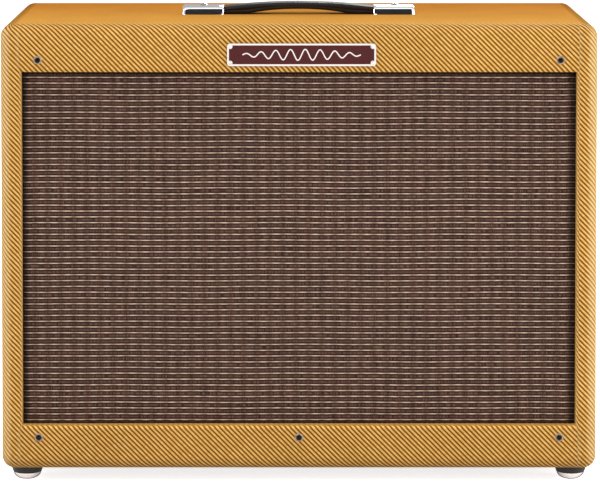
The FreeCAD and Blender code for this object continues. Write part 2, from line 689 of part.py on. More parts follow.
# Panel fittings are built along +Z, out of the panel, with z = 0 on its face.
SHAFT_R = 3.0
SHAFT_BORE_R = SHAFT_R + 0.06        # running clearance of the shafts
BUSH_HOLE_R = 4.85                   # potentiometers and jacks
TOGGLE_HOLE_R = 6.1
PLUG_BORE_R = 3.25                   # bore of a quarter-inch jack
PLUG_BORE_L = 32.0
INLET_SCREW_AT = [Vec(INLET_X + dx, FACE_Y + 3.0, PANEL_Z) for dx in (-19.6, 19.6)]


def on_panel(shape, x, spin=0.0):
    return place(shape, Vec(x, FACE_Y, PANEL_Z), REAR, spin)


def panel_holes():
    """Openings for the fittings, through the panel and the chassis rear wall."""
    round_holes = [(BUSH_HOLE_R, x) for x in KNOB_X.values()]
    round_holes += [(BUSH_HOLE_R, x) for x in JACK_X]
    round_holes += [(TOGGLE_HOLE_R, x) for x in TOGGLE_X.values()]
    round_holes += [(8.1, JEWEL_X), (6.6, FUSE_X)]
    holes = [cylinder(r, 20, Vec(x, FACE_Y + 5, PANEL_Z), FRONT) for r, x in round_holes]
    holes.append(rounded_box(INLET_X - 14.6, INLET_X + 14.6, CHASSIS_Y1 - 5, FACE_Y + 5,
                             PANEL_Z - 11.6, PANEL_Z + 11.6, 2.0, Y_AXIS))
    return holes + inlet_screw_holes()


def nut_and_washer(x, flats, height, hole_r, turn, washer):
    """Washer is (bore radius, foot radius, top radius, top z)."""
    bore_r, foot_r, top_r, top = washer
    nut = hexagon(flats, height, z=top + 0.05, hole_r=hole_r)
    disc = revolve([(bore_r, 0.03), (foot_r, 0.03), (top_r, top), (bore_r, top)])
    return [on_panel(nut, x, turn), on_panel(disc, x)]


def potentiometer():
    body = revolve([
        (SHAFT_BORE_R, -13.0), (12.0, -13.0), (12.3, -12.6), (12.3, -3.4), (11.8, -2.9),
        (4.7, -2.9), (4.7, 6.0), (4.3, 6.4), (SHAFT_BORE_R, 6.4)])
    lugs = [box(x - 1.2, x + 1.2, -19.0, -11.5, -4.4, -3.4) for x in (-5.0, 0.0, 5.0)]
    return fuse([body] + lugs)


def pot_shaft():
    return revolve([(0, -12.0), (SHAFT_R, -12.0), (SHAFT_R, 15.6), (SHAFT_R - 0.4, 16.0),
                    (0, 16.0)])


def pointer_knob():
    """Round skirt with a tapered pointer wing; the pointer lies along +Y."""
    skirt = revolve([(0, 1.0), (10.9, 1.0), (11.2, 1.4), (10.7, 6.6), (9.8, 7.6), (0, 7.6)])
    # half outline of the wing below its tip: (x, y)
    half = [(1.3, 19.2), (3.7, 11.0), (4.9, 3.0), (5.1, -4.0), (4.0, -11.2), (1.6, -13.2)]
    outline = [(0, 20.0)] + [(-x, y) for x, y in half] + half[::-1]
    foot = closed_polygon([Vec(x, y, 4.6) for x, y in outline])
    top = closed_polygon([Vec(x * 0.74, y * 0.93, 17.4) for x, y in outline])
    knob = fuse([skirt, Part.makeLoft([foot, top], True, True)])
    hollow = revolve([(0, 0.5), (8.9, 0.5), (8.7, 4.1), (5.3, 6.9), (0, 6.9)])
    bore = cylinder(SHAFT_BORE_R, 12.0, Vec(0, 0, 4.5))
    pointer_line = box(-0.5, 0.5, 5.0, 25.0, 16.9, 20)
    return cut_all(knob, [hollow, bore, pointer_line])


def phone_jack():
    """Body with a bush and a blind plug bore."""
    jack = fuse([cylinder(4.7, 10.0, Vec(0, 0, -4.0)), rounded_block(22, 20, -29.5, -3.0, 2.0)])
    jack = jack.cut(cylinder(PLUG_BORE_R, PLUG_BORE_L + 5, Vec(0, 0, 6.0 - PLUG_BORE_L)))
    return fuse([jack] + [block(2.0, 0.8, -35.0, -29.4, x=x) for x in (-7.0, 0.0, 7.0)])


def toggle_switch():
    """Body and bush; the lever hole opens to a cone at the mouth."""
    switch = fuse([cylinder(5.95, 11.5, Vec(0, 0, -4.0)),
                   rounded_block(16.0, 27.0, -21.0, -3.2, 1.2)])
    switch = switch.cut(cylinder(4.05, 14.0, Vec(0, 0, -3.0)))
    return switch.cut(revolve([(0, 4.6), (4.0, 4.6), (4.9, 7.6), (0, 7.6)]))


LEVER_BALL_R = 3.98      # pivot ball of the bat lever, centred on its hinge
LEVER_TILT = 12.0
LEVER_PIVOT = 1.6        # hinge out of the panel's face


def toggle_lever(x):
    """Bat lever at rest, thrown down."""
    ball = LEVER_BALL_R
    lever = revolve([
        (0, -ball * 0.9962), (ball * 0.0872, -ball * 0.9962),
        ("arc", (ball * 0.7071, -ball * 0.7071), (ball, 0)),
        ("arc", (ball * 0.8660, ball * 0.5), (ball * 0.5, ball * 0.8660)),
        (1.9, 4.4), (3.1, 16.0), ("arc", (2.2, 18.2), (0.5, 19.0)), (0, 19.0)])
    pivot = Vec(x, FACE_Y + LEVER_PIVOT, PANEL_Z)
    lever = place(lever, pivot, REAR)
    lever.rotate(pivot, X_AXIS, -LEVER_TILT)
    return lever


def lamp_jewel():
    facets = 12
    # facet rings: (radius, z)
    rings = [(7.3, -1.0), (7.3, 2.4), (6.9, 4.6), (5.4, 7.2), (2.9, 8.9)]
    angles = [2 * math.pi * i / facets for i in range(facets + 1)]
    wires = [Part.makePolygon([Vec(r * math.cos(a), r * math.sin(a), z) for a in angles])
             for r, z in rings]
    return on_panel(Part.makeLoft(wires, True, True), JEWEL_X)


def lamp_holder():
    return on_panel(revolve([(0, -22.0), (7.0, -22.0), (7.0, -2.4), (7.7, -2.4), (7.7, -2.1),
                             (0, -2.1)]), JEWEL_X)


def lamp_bezel():
    return on_panel(revolve([
        (7.45, -2.0), (7.9, -2.0), (7.9, 0.03), (10.4, 0.03), (10.4, 1.2),
        ("arc", (9.6, 3.4), (8.1, 3.9)), (7.5, 3.4)]), JEWEL_X)


def fuse_holder():
    tube = revolve([(4.6, -30.0), (6.4, -30.0), (6.4, 0.03), (9.2, 0.03), (9.2, 1.6),
                    (8.4, 2.4), (4.6, 2.4)])
    return on_panel(fuse([tube, cylinder(4.6, 1.2, Vec(0, 0, -30.0))]), FUSE_X)


def fuse_cap():
    """Cap with grooves around its rim and a slot across its end."""
    groove_ring_r, grooves = 7.75, 16
    cap = revolve([(0, -8.0), (4.54, -8.0), (4.54, 2.6), (7.6, 2.6), (7.6, 10.2), (6.9, 11.0),
                   (0, 11.0)])
    for i in range(grooves):
        angle = 2 * math.pi * i / grooves
        at = Vec(groove_ring_r * math.cos(angle), groove_ring_r * math.sin(angle), 3.2)
        cap = cap.cut(cylinder(0.55, 10, at))
    return on_panel(cap.cut(block(11.0, 1.4, 9.6, 12)), FUSE_X)


def panel_nuts():
    """Nuts, washers, the lamp bezel and the inlet's screws."""
    nuts = []
    for x in KNOB_X.values():
        nuts += nut_and_washer(x, 12.7, 2.4, BUSH_HOLE_R, 12, washer=(4.9, 8.6, 8.6, 0.7))
    for x in JACK_X:
        nuts += nut_and_washer(x, 14.3, 2.6, BUSH_HOLE_R, 7, washer=(4.9, 9.6, 9.2, 0.9))
    for x in TOGGLE_X.values():
        nuts += nut_and_washer(x, 14.3, 2.2, TOGGLE_HOLE_R, 20, washer=(6.15, 9.4, 9.1, 0.9))
    nuts.append(lamp_bezel())
    screw = fuse([revolve([(0, 1.7), ("arc", (1.8, 1.35), (2.9, 0.05)), (1.5, 0.05),
                           (1.5, -7.2), (0, -7.2)]), hexagon(5.5, 2.0, z=-7.95)])
    return nuts + [place(screw, at, REAR) for at in INLET_SCREW_AT]


# ---------------------------------------------------------------- mains inlet
def inlet_screw_holes():
    return [cylinder(1.7, 20, at + Vec(0, 5, 0), FRONT) for at in INLET_SCREW_AT]


def inlet_prongs(grow=0.0):
    """Contact blades, or with grow the pockets they sit in."""
    half_x, half_z = 1.0 + grow, 2.0 + grow
    prongs = []
    for dx, dz in ((-7.0, -2.0), (0.0, 2.0), (7.0, -2.0)):
        x, z = INLET_X + dx, PANEL_Z + dz
        prongs.append(box(x - half_x, x + half_x, FACE_Y - 22.0 - grow, FACE_Y + 0.5,
                          z - half_z, z + half_z))
    return prongs


def inlet_body():
    def housing(half_x, y0, y1, half_z, radius):
        return rounded_box(INLET_X - half_x, INLET_X + half_x, FACE_Y + y0, FACE_Y + y1,
                           PANEL_Z - half_z, PANEL_Z + half_z, radius, Y_AXIS)

    flange = round_rear(housing(24, 0.03, 3.0, 13.8, 6.0), 0.8, FACE_Y + 2.9)
    inlet = fuse([flange, housing(14.2, -26, 1, 11.2, 1.8)])
    # cavity outline with two cut corners: (x, z) from the inlet's centre
    outline = [(-12.2, -8.2), (12.2, -8.2), (12.2, 3.6), (7.8, 8.2), (-7.8, 8.2), (-12.2, 3.6)]
    cavity = prism([Vec(INLET_X + x, FACE_Y - 15.0, PANEL_Z + z) for x, z in outline],
                   Vec(0, 19, 0))
    return cut_all(inlet, [cavity] + inlet_prongs(grow=0.05) + inlet_screw_holes())


# ---------------------------------------------------------------- valves
# They hang from the chassis: z = 0 at its underside, going down is negative.
def under_chassis(shape, stations):
    return [place(shape, Vec(x, VALVE_Y, CHASSIS_Z)) for x in stations]


def valve_holes():
    return [cylinder(radius, 10, Vec(x, VALVE_Y, CHASSIS_Z - 4))
            for radius, stations in ((13.9, OCTAL_X), (9.9, NOVAL_X)) for x in stations]


def octal_socket():
    socket = revolve([(0, -2.9), (16.6, -2.9), (17.2, -2.4), (17.2, -0.1), (13.6, -0.1),
                      (13.6, 12.0), (0, 12.0)])
    return socket.cut(revolve([(0, -3), (3.6, -3), (3.6, 9), (0, 9)]))


def octal_base():
    base = revolve([(0, -3.1), (15.6, -3.1), (15.9, -3.5), (15.9, -18.6), (15.4, -19.2),
                    (14.9, -19.2), (14.9, -13.0), (0, -13.0)])
    key = revolve([(0, -3.2), (3.3, -3.2), (3.3, 6.5), (2.5, 7.5), (0, 7.5)])
    return fuse([base, key])


def octal_glass():
    return revolve([
        (14.6, -13.3), (14.6, -62.0), ("arc", (12.3, -72.0), (5.5, -77.0)),
        ("arc", (2.6, -78.3), (0.6, -78.8)), (0, -78.8), (0, -77.8), (0.6, -77.8),
        ("arc", (2.3, -77.2), (5.1, -76.1)), ("arc", (11.4, -71.5), (13.6, -62.0)),
        (13.6, -13.3)])


def octal_electrodes():
    """Anode with side fins, glass stem, getter ring, mica discs and support rods."""
    anode = rounded_block(19.0, 10.4, -58.0, -24.0, 3.0)
    stem = revolve([(0, -13.1), (8.0, -13.1), (7.2, -16.0), (4.0, -21.5), (4.0, -22.4),
                    (0, -22.4)])
    getter = ring(4.6, 5.8, -66.0, -65.2)
    post = cylinder(0.45, 7.0, Vec(5.2, 0, -65.6))
    fins = [block(2.6, 1.0, -55.0, -27.0, x=x) for x in (-10.7, 10.7)]
    micas = [cylinder(12.6, 0.5, Vec(0, 0, z)) for z in (-59.0, -23.4)]
    rods = [cylinder(0.6, 46.0, Vec(x, 0, -63.0)) for x in (-6.0, 6.0)]
    return fuse([anode, stem, getter, post] + fins + micas + rods)


def noval_socket():
    socket = revolve([(0, -2.9), (12.0, -2.9), (12.5, -2.4), (12.5, -0.1), (9.6, -0.1),
                      (9.6, 10.0), (0, 10.0)])
    return socket.cut(revolve([(0, -3), (2.0, -3), (2.0, 5), (0, 5)]))


def noval_glass():
    return revolve([
        (10.3, -3.2), (10.3, -44.0), ("arc", (9.0, -49.2), (4.2, -52.2)), (1.9, -53.2),
        (1.0, -56.0), (0, -56.4), (0, -54.0), (1.2, -52.0),
        ("arc", (8.0, -48.7), (9.4, -44.0)), (9.4, -3.2)])


def noval_electrodes():
    """Twin anodes, mica discs, glass button, getter ring, support rods and nine pins."""
    anodes = [rounded_block(5.4, 7.2, -36.0, -13.0, 1.2, x=x) for x in (-3.6, 3.6)]
    micas = [cylinder(8.9, 0.5, Vec(0, 0, z)) for z in (-37.0, -12.6)]
    button = cylinder(9.2, 1.6, Vec(0, 0, -6.2))
    getter = ring(3.2, 4.2, -43.0, -42.3)
    post = cylinder(0.4, 6.0, Vec(3.7, 0, -42.5))
    rods = [cylinder(0.5, 27, Vec(x, 0, -38.5)) for x in (-7.2, 7.2)]
    angles = [math.radians(36 * i) for i in range(9)]
    pins = [cylinder(0.5, 8.0, Vec(6.0 * math.cos(a), 6.0 * math.sin(a), -12.2)) for a in angles]
    return fuse(anodes + micas + [button, getter, post] + rods + pins)


# ---------------------------------------------------------------- transformers
# Each is built about its own axis, z = 0 at the chassis underside.
POWER_AT = Vec(178.0, 76.0, CHASSIS_Z)
POWER_BOLTS = [at + Vec(0, 0, -35.45) for at in corners(36.5, 24.5)]
OUTPUT_AT = Vec(-205.0, 78.0, CHASSIS_Z)
OUTPUT_BOLTS = [Vec(x, 0, -1.75) for x in (-36.5, 36.5)]


def bolt_holes(bolts, length):
    return [cylinder(2.15, length, at + Vec(0, 0, -10)) for at in bolts]


POWER_HOLES = bolt_holes(POWER_BOLTS, 60)
OUTPUT_HOLES = bolt_holes(OUTPUT_BOLTS, 30)


def power_transformer():
    """Laminated core under the chassis with a rounded bell below it."""
    core = rounded_block(84, 60, -34.0, -0.05, 1.0)
    bell = rounded_block(60, 54, -60, -35.2, 9.0)
    bell = bell.makeFillet(6.0, [e for e in bell.Edges if e.BoundBox.ZMax < -59.9])
    bell = fuse([bell, rounded_block(84, 60, -35.4, -34.05, 3.0)])
    return [place(cut_all(piece, POWER_HOLES), POWER_AT) for piece in (core, bell)]


def output_transformer():
    """Core with two windows, coil around its middle limb, footed frame."""
    core = block(56, 22, -50.0, -2.2)
    for x0, x1 in ((-17.2, -9.3), (9.3, 17.2)):
        core = core.cut(box(x0, x1, -20, 20, -41.0, -11.2))
    coil = rounded_block(34.0, 42, -40.8, -11.4, 6.0).cut(block(19.0, 22.2, -45, -5))
    # the coil keeps clear of the core's outer legs
    for x0, x1 in ((-30, -17.1), (17.1, 30)):
        coil = coil.cut(box(x0, x1, -11.2, 11.2, -45, 0))
    frame = block(59.6, 23.0, -51.8, -0.1).cut(block(56.4, 40, -50.2, 5))
    frame = fuse([frame] + [block(13, 16, -1.7, -0.1, x=x) for x in (-36.3, 36.3)])
    frame = cut_all(frame, OUTPUT_HOLES)
    return [place(piece, OUTPUT_AT) for piece in (core, coil, frame)]


def transformer_bolt(length, nut_z):
    return fuse([cylinder(2.0, length), hexagon(7.0, 3.0, z=-3.0), hexagon(7.0, 3.0, z=nut_z)])


def transformer_bolts():
    long_bolt, short_bolt = transformer_bolt(42.0, 37.1), transformer_bolt(9.0, 3.5)
    return [place(long_bolt, POWER_AT + at) for at in POWER_BOLTS] + \
           [place(short_bolt, OUTPUT_AT + at) for at in OUTPUT_BOLTS]


def transformer_holes():
    return [place(hole, POWER_AT) for hole in POWER_HOLES] + \
           [place(hole, OUTPUT_AT) for hole in OUTPUT_HOLES]


# ---------------------------------------------------------------- circuit board
CIRCUIT_Z = CHASSIS_Z + 17.0
# round components, repeating along the board: (radius, length)
COMPONENTS = [(3.9, 21.0), (2.1, 13.0), (5.6, 24.0)]
COMPONENT_X0, COMPONENT_PITCH, COMPONENT_COUNT = -150, 18.2, 17


def circuit_board():
    """Board on three posts inside the chassis, then the components lying across it."""
    post_z = CHASSIS_Z + WALL + 0.01
    board = box(-165, 160, CHASSIS_Y0 + 3, CHASSIS_Y0 + 33, CIRCUIT_Z, CIRCUIT_Z + 2.0)
    posts = [cylinder(3.0, CIRCUIT_Z - 0.01 - post_z, Vec(x, CHASSIS_Y0 + 10, post_z))
             for x in (-155, 0, 150)]
    pieces = [fuse([board] + posts)]
    for i in range(COMPONENT_COUNT):
        radius, length = COMPONENTS[i % 3]
        at = Vec(COMPONENT_X0 + i * COMPONENT_PITCH, CHASSIS_Y0 + 17.5 - length / 2,
                 CIRCUIT_Z + 2.1 + radius)
        pieces.append(cylinder(radius, length, at, REAR))
    return pieces


# ---------------------------------------------------------------- build and write
os.makedirs("parts", exist_ok=True)

front_holes = front_screw_holes()
handle_holes = handle_screw_holes()
pin_holes = badge_pin_holes()
feet_holes = foot_holes()
rear_holes = rear_screw_holes(BACK_SCREW_AT + PANEL_SCREW_AT)

core_body = cabinet_body(CLOTH_T)
top_board, bottom_board, left_board, right_board = cabinet_boards(core_body)
save("cabinet_top", cut_all(top_board, handle_holes + pin_holes))
save("cabinet_bottom", cut_all(bottom_board, feet_holes))
save("cabinet_side_left", cut_all(left_board, feet_holes))
save("cabinet_side_right", cut_all(right_board, feet_holes))
upper_rail = box(-IN_X, IN_X, BOARD_Y0, RAIL_Y1, OPEN_Z1 + LINER_T, IN_Z1)
lower_rail = box(-IN_X, IN_X, BOARD_Y0, RAIL_Y1, IN_Z0, OPEN_Z0 - LINER_T)
save("front_rails", cut_all(upper_rail, front_holes + pin_holes),
     cut_all(lower_rail, front_holes))
plain_back = back_panel()
save("cabinet_covering",
     cut_all(covering(core_body), front_holes + handle_holes + pin_holes + feet_holes),
     cut_all(back_panel_covering(plain_back), rear_holes))
save("rear_cleats", *[cut_all(cleat, rear_holes) for cleat in rear_cleats()])
save("back_panel", cut_all(plain_back, rear_holes))
save("rear_screws", *rear_screws())
save("front_screws", *front_screws())
save("baffle_board", cut_all(baffle_board(), front_holes + speaker_bolt_holes()))
save("grille_cloth", cut_all(grille_cloth(), front_holes))

save("speaker_basket", speaker_basket())
save("speaker_gasket", speaker_gasket())
save("speaker_surround", speaker_surround())
save("speaker_cone", speaker_cone())
save("speaker_dust_cap", speaker_dust_cap())
save("speaker_voice_coil", speaker_voice_coil())
save("speaker_spider", speaker_spider())
save("speaker_magnet", speaker_magnet())
save("speaker_motor_plates", *speaker_motor_plates())
save("speaker_terminals", speaker_terminals())
save("speaker_bolts", *speaker_bolts())
save("speaker_lead", speaker_lead())

save("handle_strap", handle_strap())
save("handle_strap_ends", *handle_tongues())
save("handle_end_caps", *handle_caps())
save("handle_screws", *handle_screws())
save("badge_plate", badge_plate())
save("badge_pins", *badge_pins())
save("foot_cushions", *foot_cushions())
save("foot_glides", *foot_glides())

through_holes = rear_screw_holes(PANEL_SCREW_AT) + panel_holes()
lead_hole = cylinder(4.0, 10, LEAD_HOLE_AT + Vec(0, -4, 0), REAR)
save("amp_chassis", cut_all(chassis_sheet(), through_holes + valve_holes() +
                            transformer_holes() + [lead_hole]))
save("control_panel", cut_all(control_panel(), through_holes))
for control, control_x in KNOB_X.items():
    # the half turn points the knob up
    save("knob_" + control, on_panel(pointer_knob(), control_x, 180))
    save("shaft_" + control, on_panel(pot_shaft(), control_x, 180))
for control, control_x in TOGGLE_X.items():
    save(control + "_switch_lever", toggle_lever(control_x))
save("potentiometers", *[on_panel(potentiometer(), x) for x in KNOB_X.values()])
save("panel_nuts", *panel_nuts())
save("phone_jacks", *[on_panel(phone_jack(), x) for x in JACK_X])
save("toggle_switches", *[on_panel(toggle_switch(), x) for x in TOGGLE_X.values()])
save("pilot_lamp", lamp_jewel(), lamp_holder())
save("fuse_holder", fuse_holder())
save("fuse_cap", fuse_cap())
save("mains_inlet", inlet_body(), *inlet_prongs())

save("circuit_board", *circuit_board())
save("power_transformer", *power_transformer())
save("output_transformer", *output_transformer())
save("transformer_bolts", *transformer_bolts())
save("valve_sockets", *under_chassis(octal_socket(), OCTAL_X),
     *under_chassis(noval_socket(), NOVAL_X))
save("valve_bases", *under_chassis(octal_base(), OCTAL_X))
save("valve_glass", *under_chassis(octal_glass(), OCTAL_X),
     *under_chassis(noval_glass(), NOVAL_X))
save("valve_electrodes", *under_chassis(octal_electrodes(), OCTAL_X),
     *under_chassis(noval_electrodes(), NOVAL_X))
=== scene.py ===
import math

import bpy
import numpy as np
from mathutils import Matrix, Vector


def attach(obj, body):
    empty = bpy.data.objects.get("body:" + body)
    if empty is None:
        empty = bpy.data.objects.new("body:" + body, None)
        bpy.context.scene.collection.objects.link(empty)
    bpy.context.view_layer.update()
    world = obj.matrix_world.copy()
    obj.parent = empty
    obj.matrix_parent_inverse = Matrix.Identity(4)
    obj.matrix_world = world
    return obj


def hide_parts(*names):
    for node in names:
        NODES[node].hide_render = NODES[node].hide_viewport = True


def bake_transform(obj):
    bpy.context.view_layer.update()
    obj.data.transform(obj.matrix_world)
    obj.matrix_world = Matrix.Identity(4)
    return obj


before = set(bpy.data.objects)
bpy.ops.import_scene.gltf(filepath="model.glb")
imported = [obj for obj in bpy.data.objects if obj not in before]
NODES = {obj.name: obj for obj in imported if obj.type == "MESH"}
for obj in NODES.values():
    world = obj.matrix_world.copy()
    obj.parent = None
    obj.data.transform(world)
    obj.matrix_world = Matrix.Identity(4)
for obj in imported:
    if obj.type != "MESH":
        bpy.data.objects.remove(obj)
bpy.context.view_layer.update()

scene = bpy.context.scene
MM = 0.001

# ------------------------------------------------------------------ the object's dimensions, metres
X1, YF, YB, Z0, ZT, R = 0.2985, -0.1335, 0.1335, 0.016, 0.464, 0.0127
IN_X, IN_Z0, IN_Z1 = 0.279, 0.0355, 0.4445
GR_X, GR_Z0, GR_Z1 = 0.2774, Z0 + 0.0448, Z0 + 0.4005
CLOTH_Y = -0.1213
SCREWS = [(-0.2608, Z0 + 0.4126), (0.2608, Z0 + 0.4126), (-0.2608, Z0 + 0.0332), (0.0, Z0 + 0.0332), (0.2608, Z0 + 0.0332)]
SEAM_X = 0.2796
PANEL_Z0, PANEL_Z1, FACE_Y = 0.354, 0.443, 0.1107
PANEL_Z = (PANEL_Z0 + PANEL_Z1) / 2
SPK_Z = Z0 + 0.22435
HANDLE_Y = -0.0055
KNOB_X = {"volume": -0.104, "treble": -0.058, "bass": -0.012, "master": 0.034}
JACK_X = (-0.150, -0.182, -0.226)
TOGGLE_X = (0.152, 0.118)
JEWEL_X, FUSE_X, INLET_X = 0.080, 0.184, 0.227


# ------------------------------------------------------------------ node material helpers
def srgb(r, g, b):
    def f(c):
        c /= 255.0
        return c / 12.92 if c <= 0.04045 else ((c + 0.055) / 1.055) ** 2.4
    return (f(r), f(g), f(b), 1.0)


class Mat:
    def __init__(self, name):
        self.m = bpy.data.materials.new(name)
        self.m.use_nodes = True
        self.t = self.m.node_tree
        self.t.nodes.clear()
        self.out = self.t.nodes.new("ShaderNodeOutputMaterial")
        self.b = self.t.nodes.new("ShaderNodeBsdfPrincipled")
        self.t.links.new(self.b.outputs[0], self.out.inputs[0])
        self._obj = None

    def n(self, kind, **props):
        node = self.t.nodes.new("ShaderNode" + kind)
        for k, v in props.items():
            setattr(node, k, v)
        return node

    def put(self, socket, v):
        if v is None:
            return
        if isinstance(v, bpy.types.NodeSocket):
            self.t.links.new(v, socket)
        else:
            socket.default_value = v

    def set(self, **kw):
        for k, v in kw.items():
            self.put(self.b.inputs[k.replace("_", " ")], v)
        return self

    def obj(self):
        if self._obj is None:
            self._obj = self.n("TexCoord").outputs["Object"]
        return self._obj

    def uv(self, layer="UVMap"):
        return self.n("UVMap", uv_map=layer).outputs[0]

    def math(self, op, a, b=None, c=None, clamp=False):
        node = self.n("Math", operation=op, use_clamp=clamp)
        self.put(node.inputs[0], a)
        self.put(node.inputs[1], b)
        self.put(node.inputs[2], c)
        return node.outputs[0]

    def sep(self, v):
        node = self.n("SeparateXYZ")
        self.put(node.inputs[0], v)
        return node.outputs

    def comb(self, x, y, z=0.0):
        node = self.n("CombineXYZ")
        self.put(node.inputs[0], x)
        self.put(node.inputs[1], y)
        self.put(node.inputs[2], z)
        return node.outputs[0]

    def vmul(self, v, s):
        node = self.n("VectorMath", operation="MULTIPLY")
        self.put(node.inputs[0], v)
        self.put(node.inputs[1], s)
        return node.outputs[0]

    def noise(self, v, scale, detail=3.0, rough=0.5, dist=0.0, colour=False):
        node = self.n("TexNoise")
        self.put(node.inputs["Vector"], v)
        self.put(node.inputs["Scale"], scale)
        self.put(node.inputs["Detail"], detail)
        self.put(node.inputs["Roughness"], rough)
        self.put(node.inputs["Distortion"], dist)
        return node.outputs["Color" if colour else 0]

    def voronoi(self, v, scale, feature="F1", rand=1.0):
        node = self.n("TexVoronoi", feature=feature)
        self.put(node.inputs["Vector"], v)
        self.put(node.inputs["Scale"], scale)
        self.put(node.inputs["Randomness"], rand)
        return node.outputs[0]

    def white(self, v=None, w=None):
        node = self.n("TexWhiteNoise", noise_dimensions="1D" if v is None else "3D")
        if v is None:
            self.put(node.inputs["W"], w)
        else:
            self.put(node.inputs["Vector"], v)
        return node.outputs[0]

    def ramp(self, fac, stops, interp="LINEAR"):
        node = self.n("ValToRGB")
        node.color_ramp.interpolation = interp
        el = node.color_ramp.elements
        while len(el) < len(stops):
            el.new(0.5)
        for e, (p, c) in zip(el, stops):
            e.position = p
            e.color = c if hasattr(c, "__len__") else (c, c, c, 1)
        self.put(node.inputs[0], fac)
        return node.outputs[0]

    def mix(self, fac, a, b, blend="MIX"):
        node = self.n("Mix", data_type="RGBA", blend_type=blend)
        self.put(node.inputs[0], fac)
        self.put(node.inputs[6], a)
        self.put(node.inputs[7], b)
        return node.outputs[2]

    def remap(self, v, a, b, c, d, smooth=False):
        node = self.n("MapRange", interpolation_type="SMOOTHSTEP" if smooth else "LINEAR")
        for i, x in enumerate((v, a, b, c, d)):
            self.put(node.inputs[i], x)
        return node.outputs[0]

    def bump(self, height, dist, strength=1.0, normal=None):
        node = self.n("Bump")
        self.put(node.inputs["Strength"], strength)
        self.put(node.inputs["Distance"], dist)
        self.put(node.inputs["Height"], height)
        self.put(node.inputs["Normal"], normal)
        return node.outputs[0]

    def scaled(self, c, v):
        """Colour c times the value v."""
        node = self.n("VectorMath", operation="SCALE")
        self.put(node.inputs[0], c if isinstance(c, bpy.types.NodeSocket) else tuple(c)[:3])
        self.put(node.inputs[3], v)
        return node.outputs[0]


# ------------------------------------------------------------------ mesh helpers
def add_mesh(name, verts, faces, mats, body="cabinet", uvs=None, fmat=None, sharp=40.0, node=None, ride=True):
    """uvs: one (u, v) per face corner, in face order."""
    me = bpy.data.meshes.new(name)
    me.from_pydata([tuple(map(float, v)) for v in verts], [], [tuple(int(i) for i in f) for f in faces])
    if uvs is not None:
        layer = me.uv_layers.new(name="UVMap")
        layer.data.foreach_set("uv", np.asarray(uvs, np.float32).ravel())
    for m in (mats if isinstance(mats, (list, tuple)) else [mats]):
        me.materials.append(m.m if isinstance(m, Mat) else m)
    if fmat is not None:
        me.polygons.foreach_set("material_index", np.asarray(fmat, np.int32))
    me.polygons.foreach_set("use_smooth", np.ones(len(me.polygons), bool))
    me.update()
    me.validate()
    if sharp is not None:
        me.set_sharp_from_angle(angle=math.radians(sharp))
    ob = bpy.data.objects.new(name, me)
    scene.collection.objects.link(ob)
    if node is not None:
        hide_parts(*([node] if isinstance(node, str) else node))
    if ride:
        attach(ob, body)
    return ob


def lathe(profile, seg=64, close=True):
    """Verts and faces of a profile of (r, z) turned about Z; points at r = 0 become poles. A closed profile makes a closed ring."""
    verts, rings = [], []
    for r, z in profile:
        if r < 1e-7:
            rings.append([len(verts)])
            verts.append((0, 0, z))
        else:
            rings.append(list(range(len(verts), len(verts) + seg)))
            for i in range(seg):
                a = 2 * math.pi * i / seg
                verts.append((r * math.cos(a), r * math.sin(a), z))
    faces = []
    pairs = list(zip(rings[:-1], rings[1:]))
    if close:
        pairs.append((rings[-1], rings[0]))
    for a, b in pairs:
        if len(a) == 1 and len(b) == 1:
            continue
        for i in range(seg):
            j = (i + 1) % seg
            if len(a) == 1:
                faces.append((a[0], b[j], b[i]))
            elif len(b) == 1:
                faces.append((a[i], a[j], b[0]))
            else:
                faces.append((a[i], a[j], b[j], b[i]))
    return np.array(verts, float), faces


def arc_pts(cx, cz, r, a0, a1, n):
    return [(cx + r * math.cos(math.radians(a0 + (a1 - a0) * i / n)), cz + r * math.sin(math.radians(a0 + (a1 - a0) * i / n))) for i in range(n + 1)]


def place_verts(v, at, direction=(0, 0, 1), spin=0.0):
    rot = Vector((0, 0, 1)).rotation_difference(Vector(direction)).to_matrix() @ Matrix.Rotation(spin, 3, "Z")
    return v @ np.array(rot).T + np.array(at)


def join_parts(parts):
    """[(verts, faces)] as one."""
    vs, fs, n = [], [], 0
    for v, f in parts:
        vs.append(np.asarray(v, float))
        fs += [tuple(i + n for i in face) for face in f]
        n += len(v)
    return np.concatenate(vs), fs


def box_uv(verts, faces, scale=1.0):
    """Per-corner coordinates from the face's main direction, in metres."""
    uvs = []
    for f in faces:
        p = verts[list(f)]
        nrm = np.abs(np.cross(p[1] - p[0], p[2] - p[0]))
        k = int(np.argmax(nrm))
        a, b = [(1, 2), (0, 2), (0, 1)][k]
        uvs += [(q[a] * scale, q[b] * scale) for q in p]
    return uvs


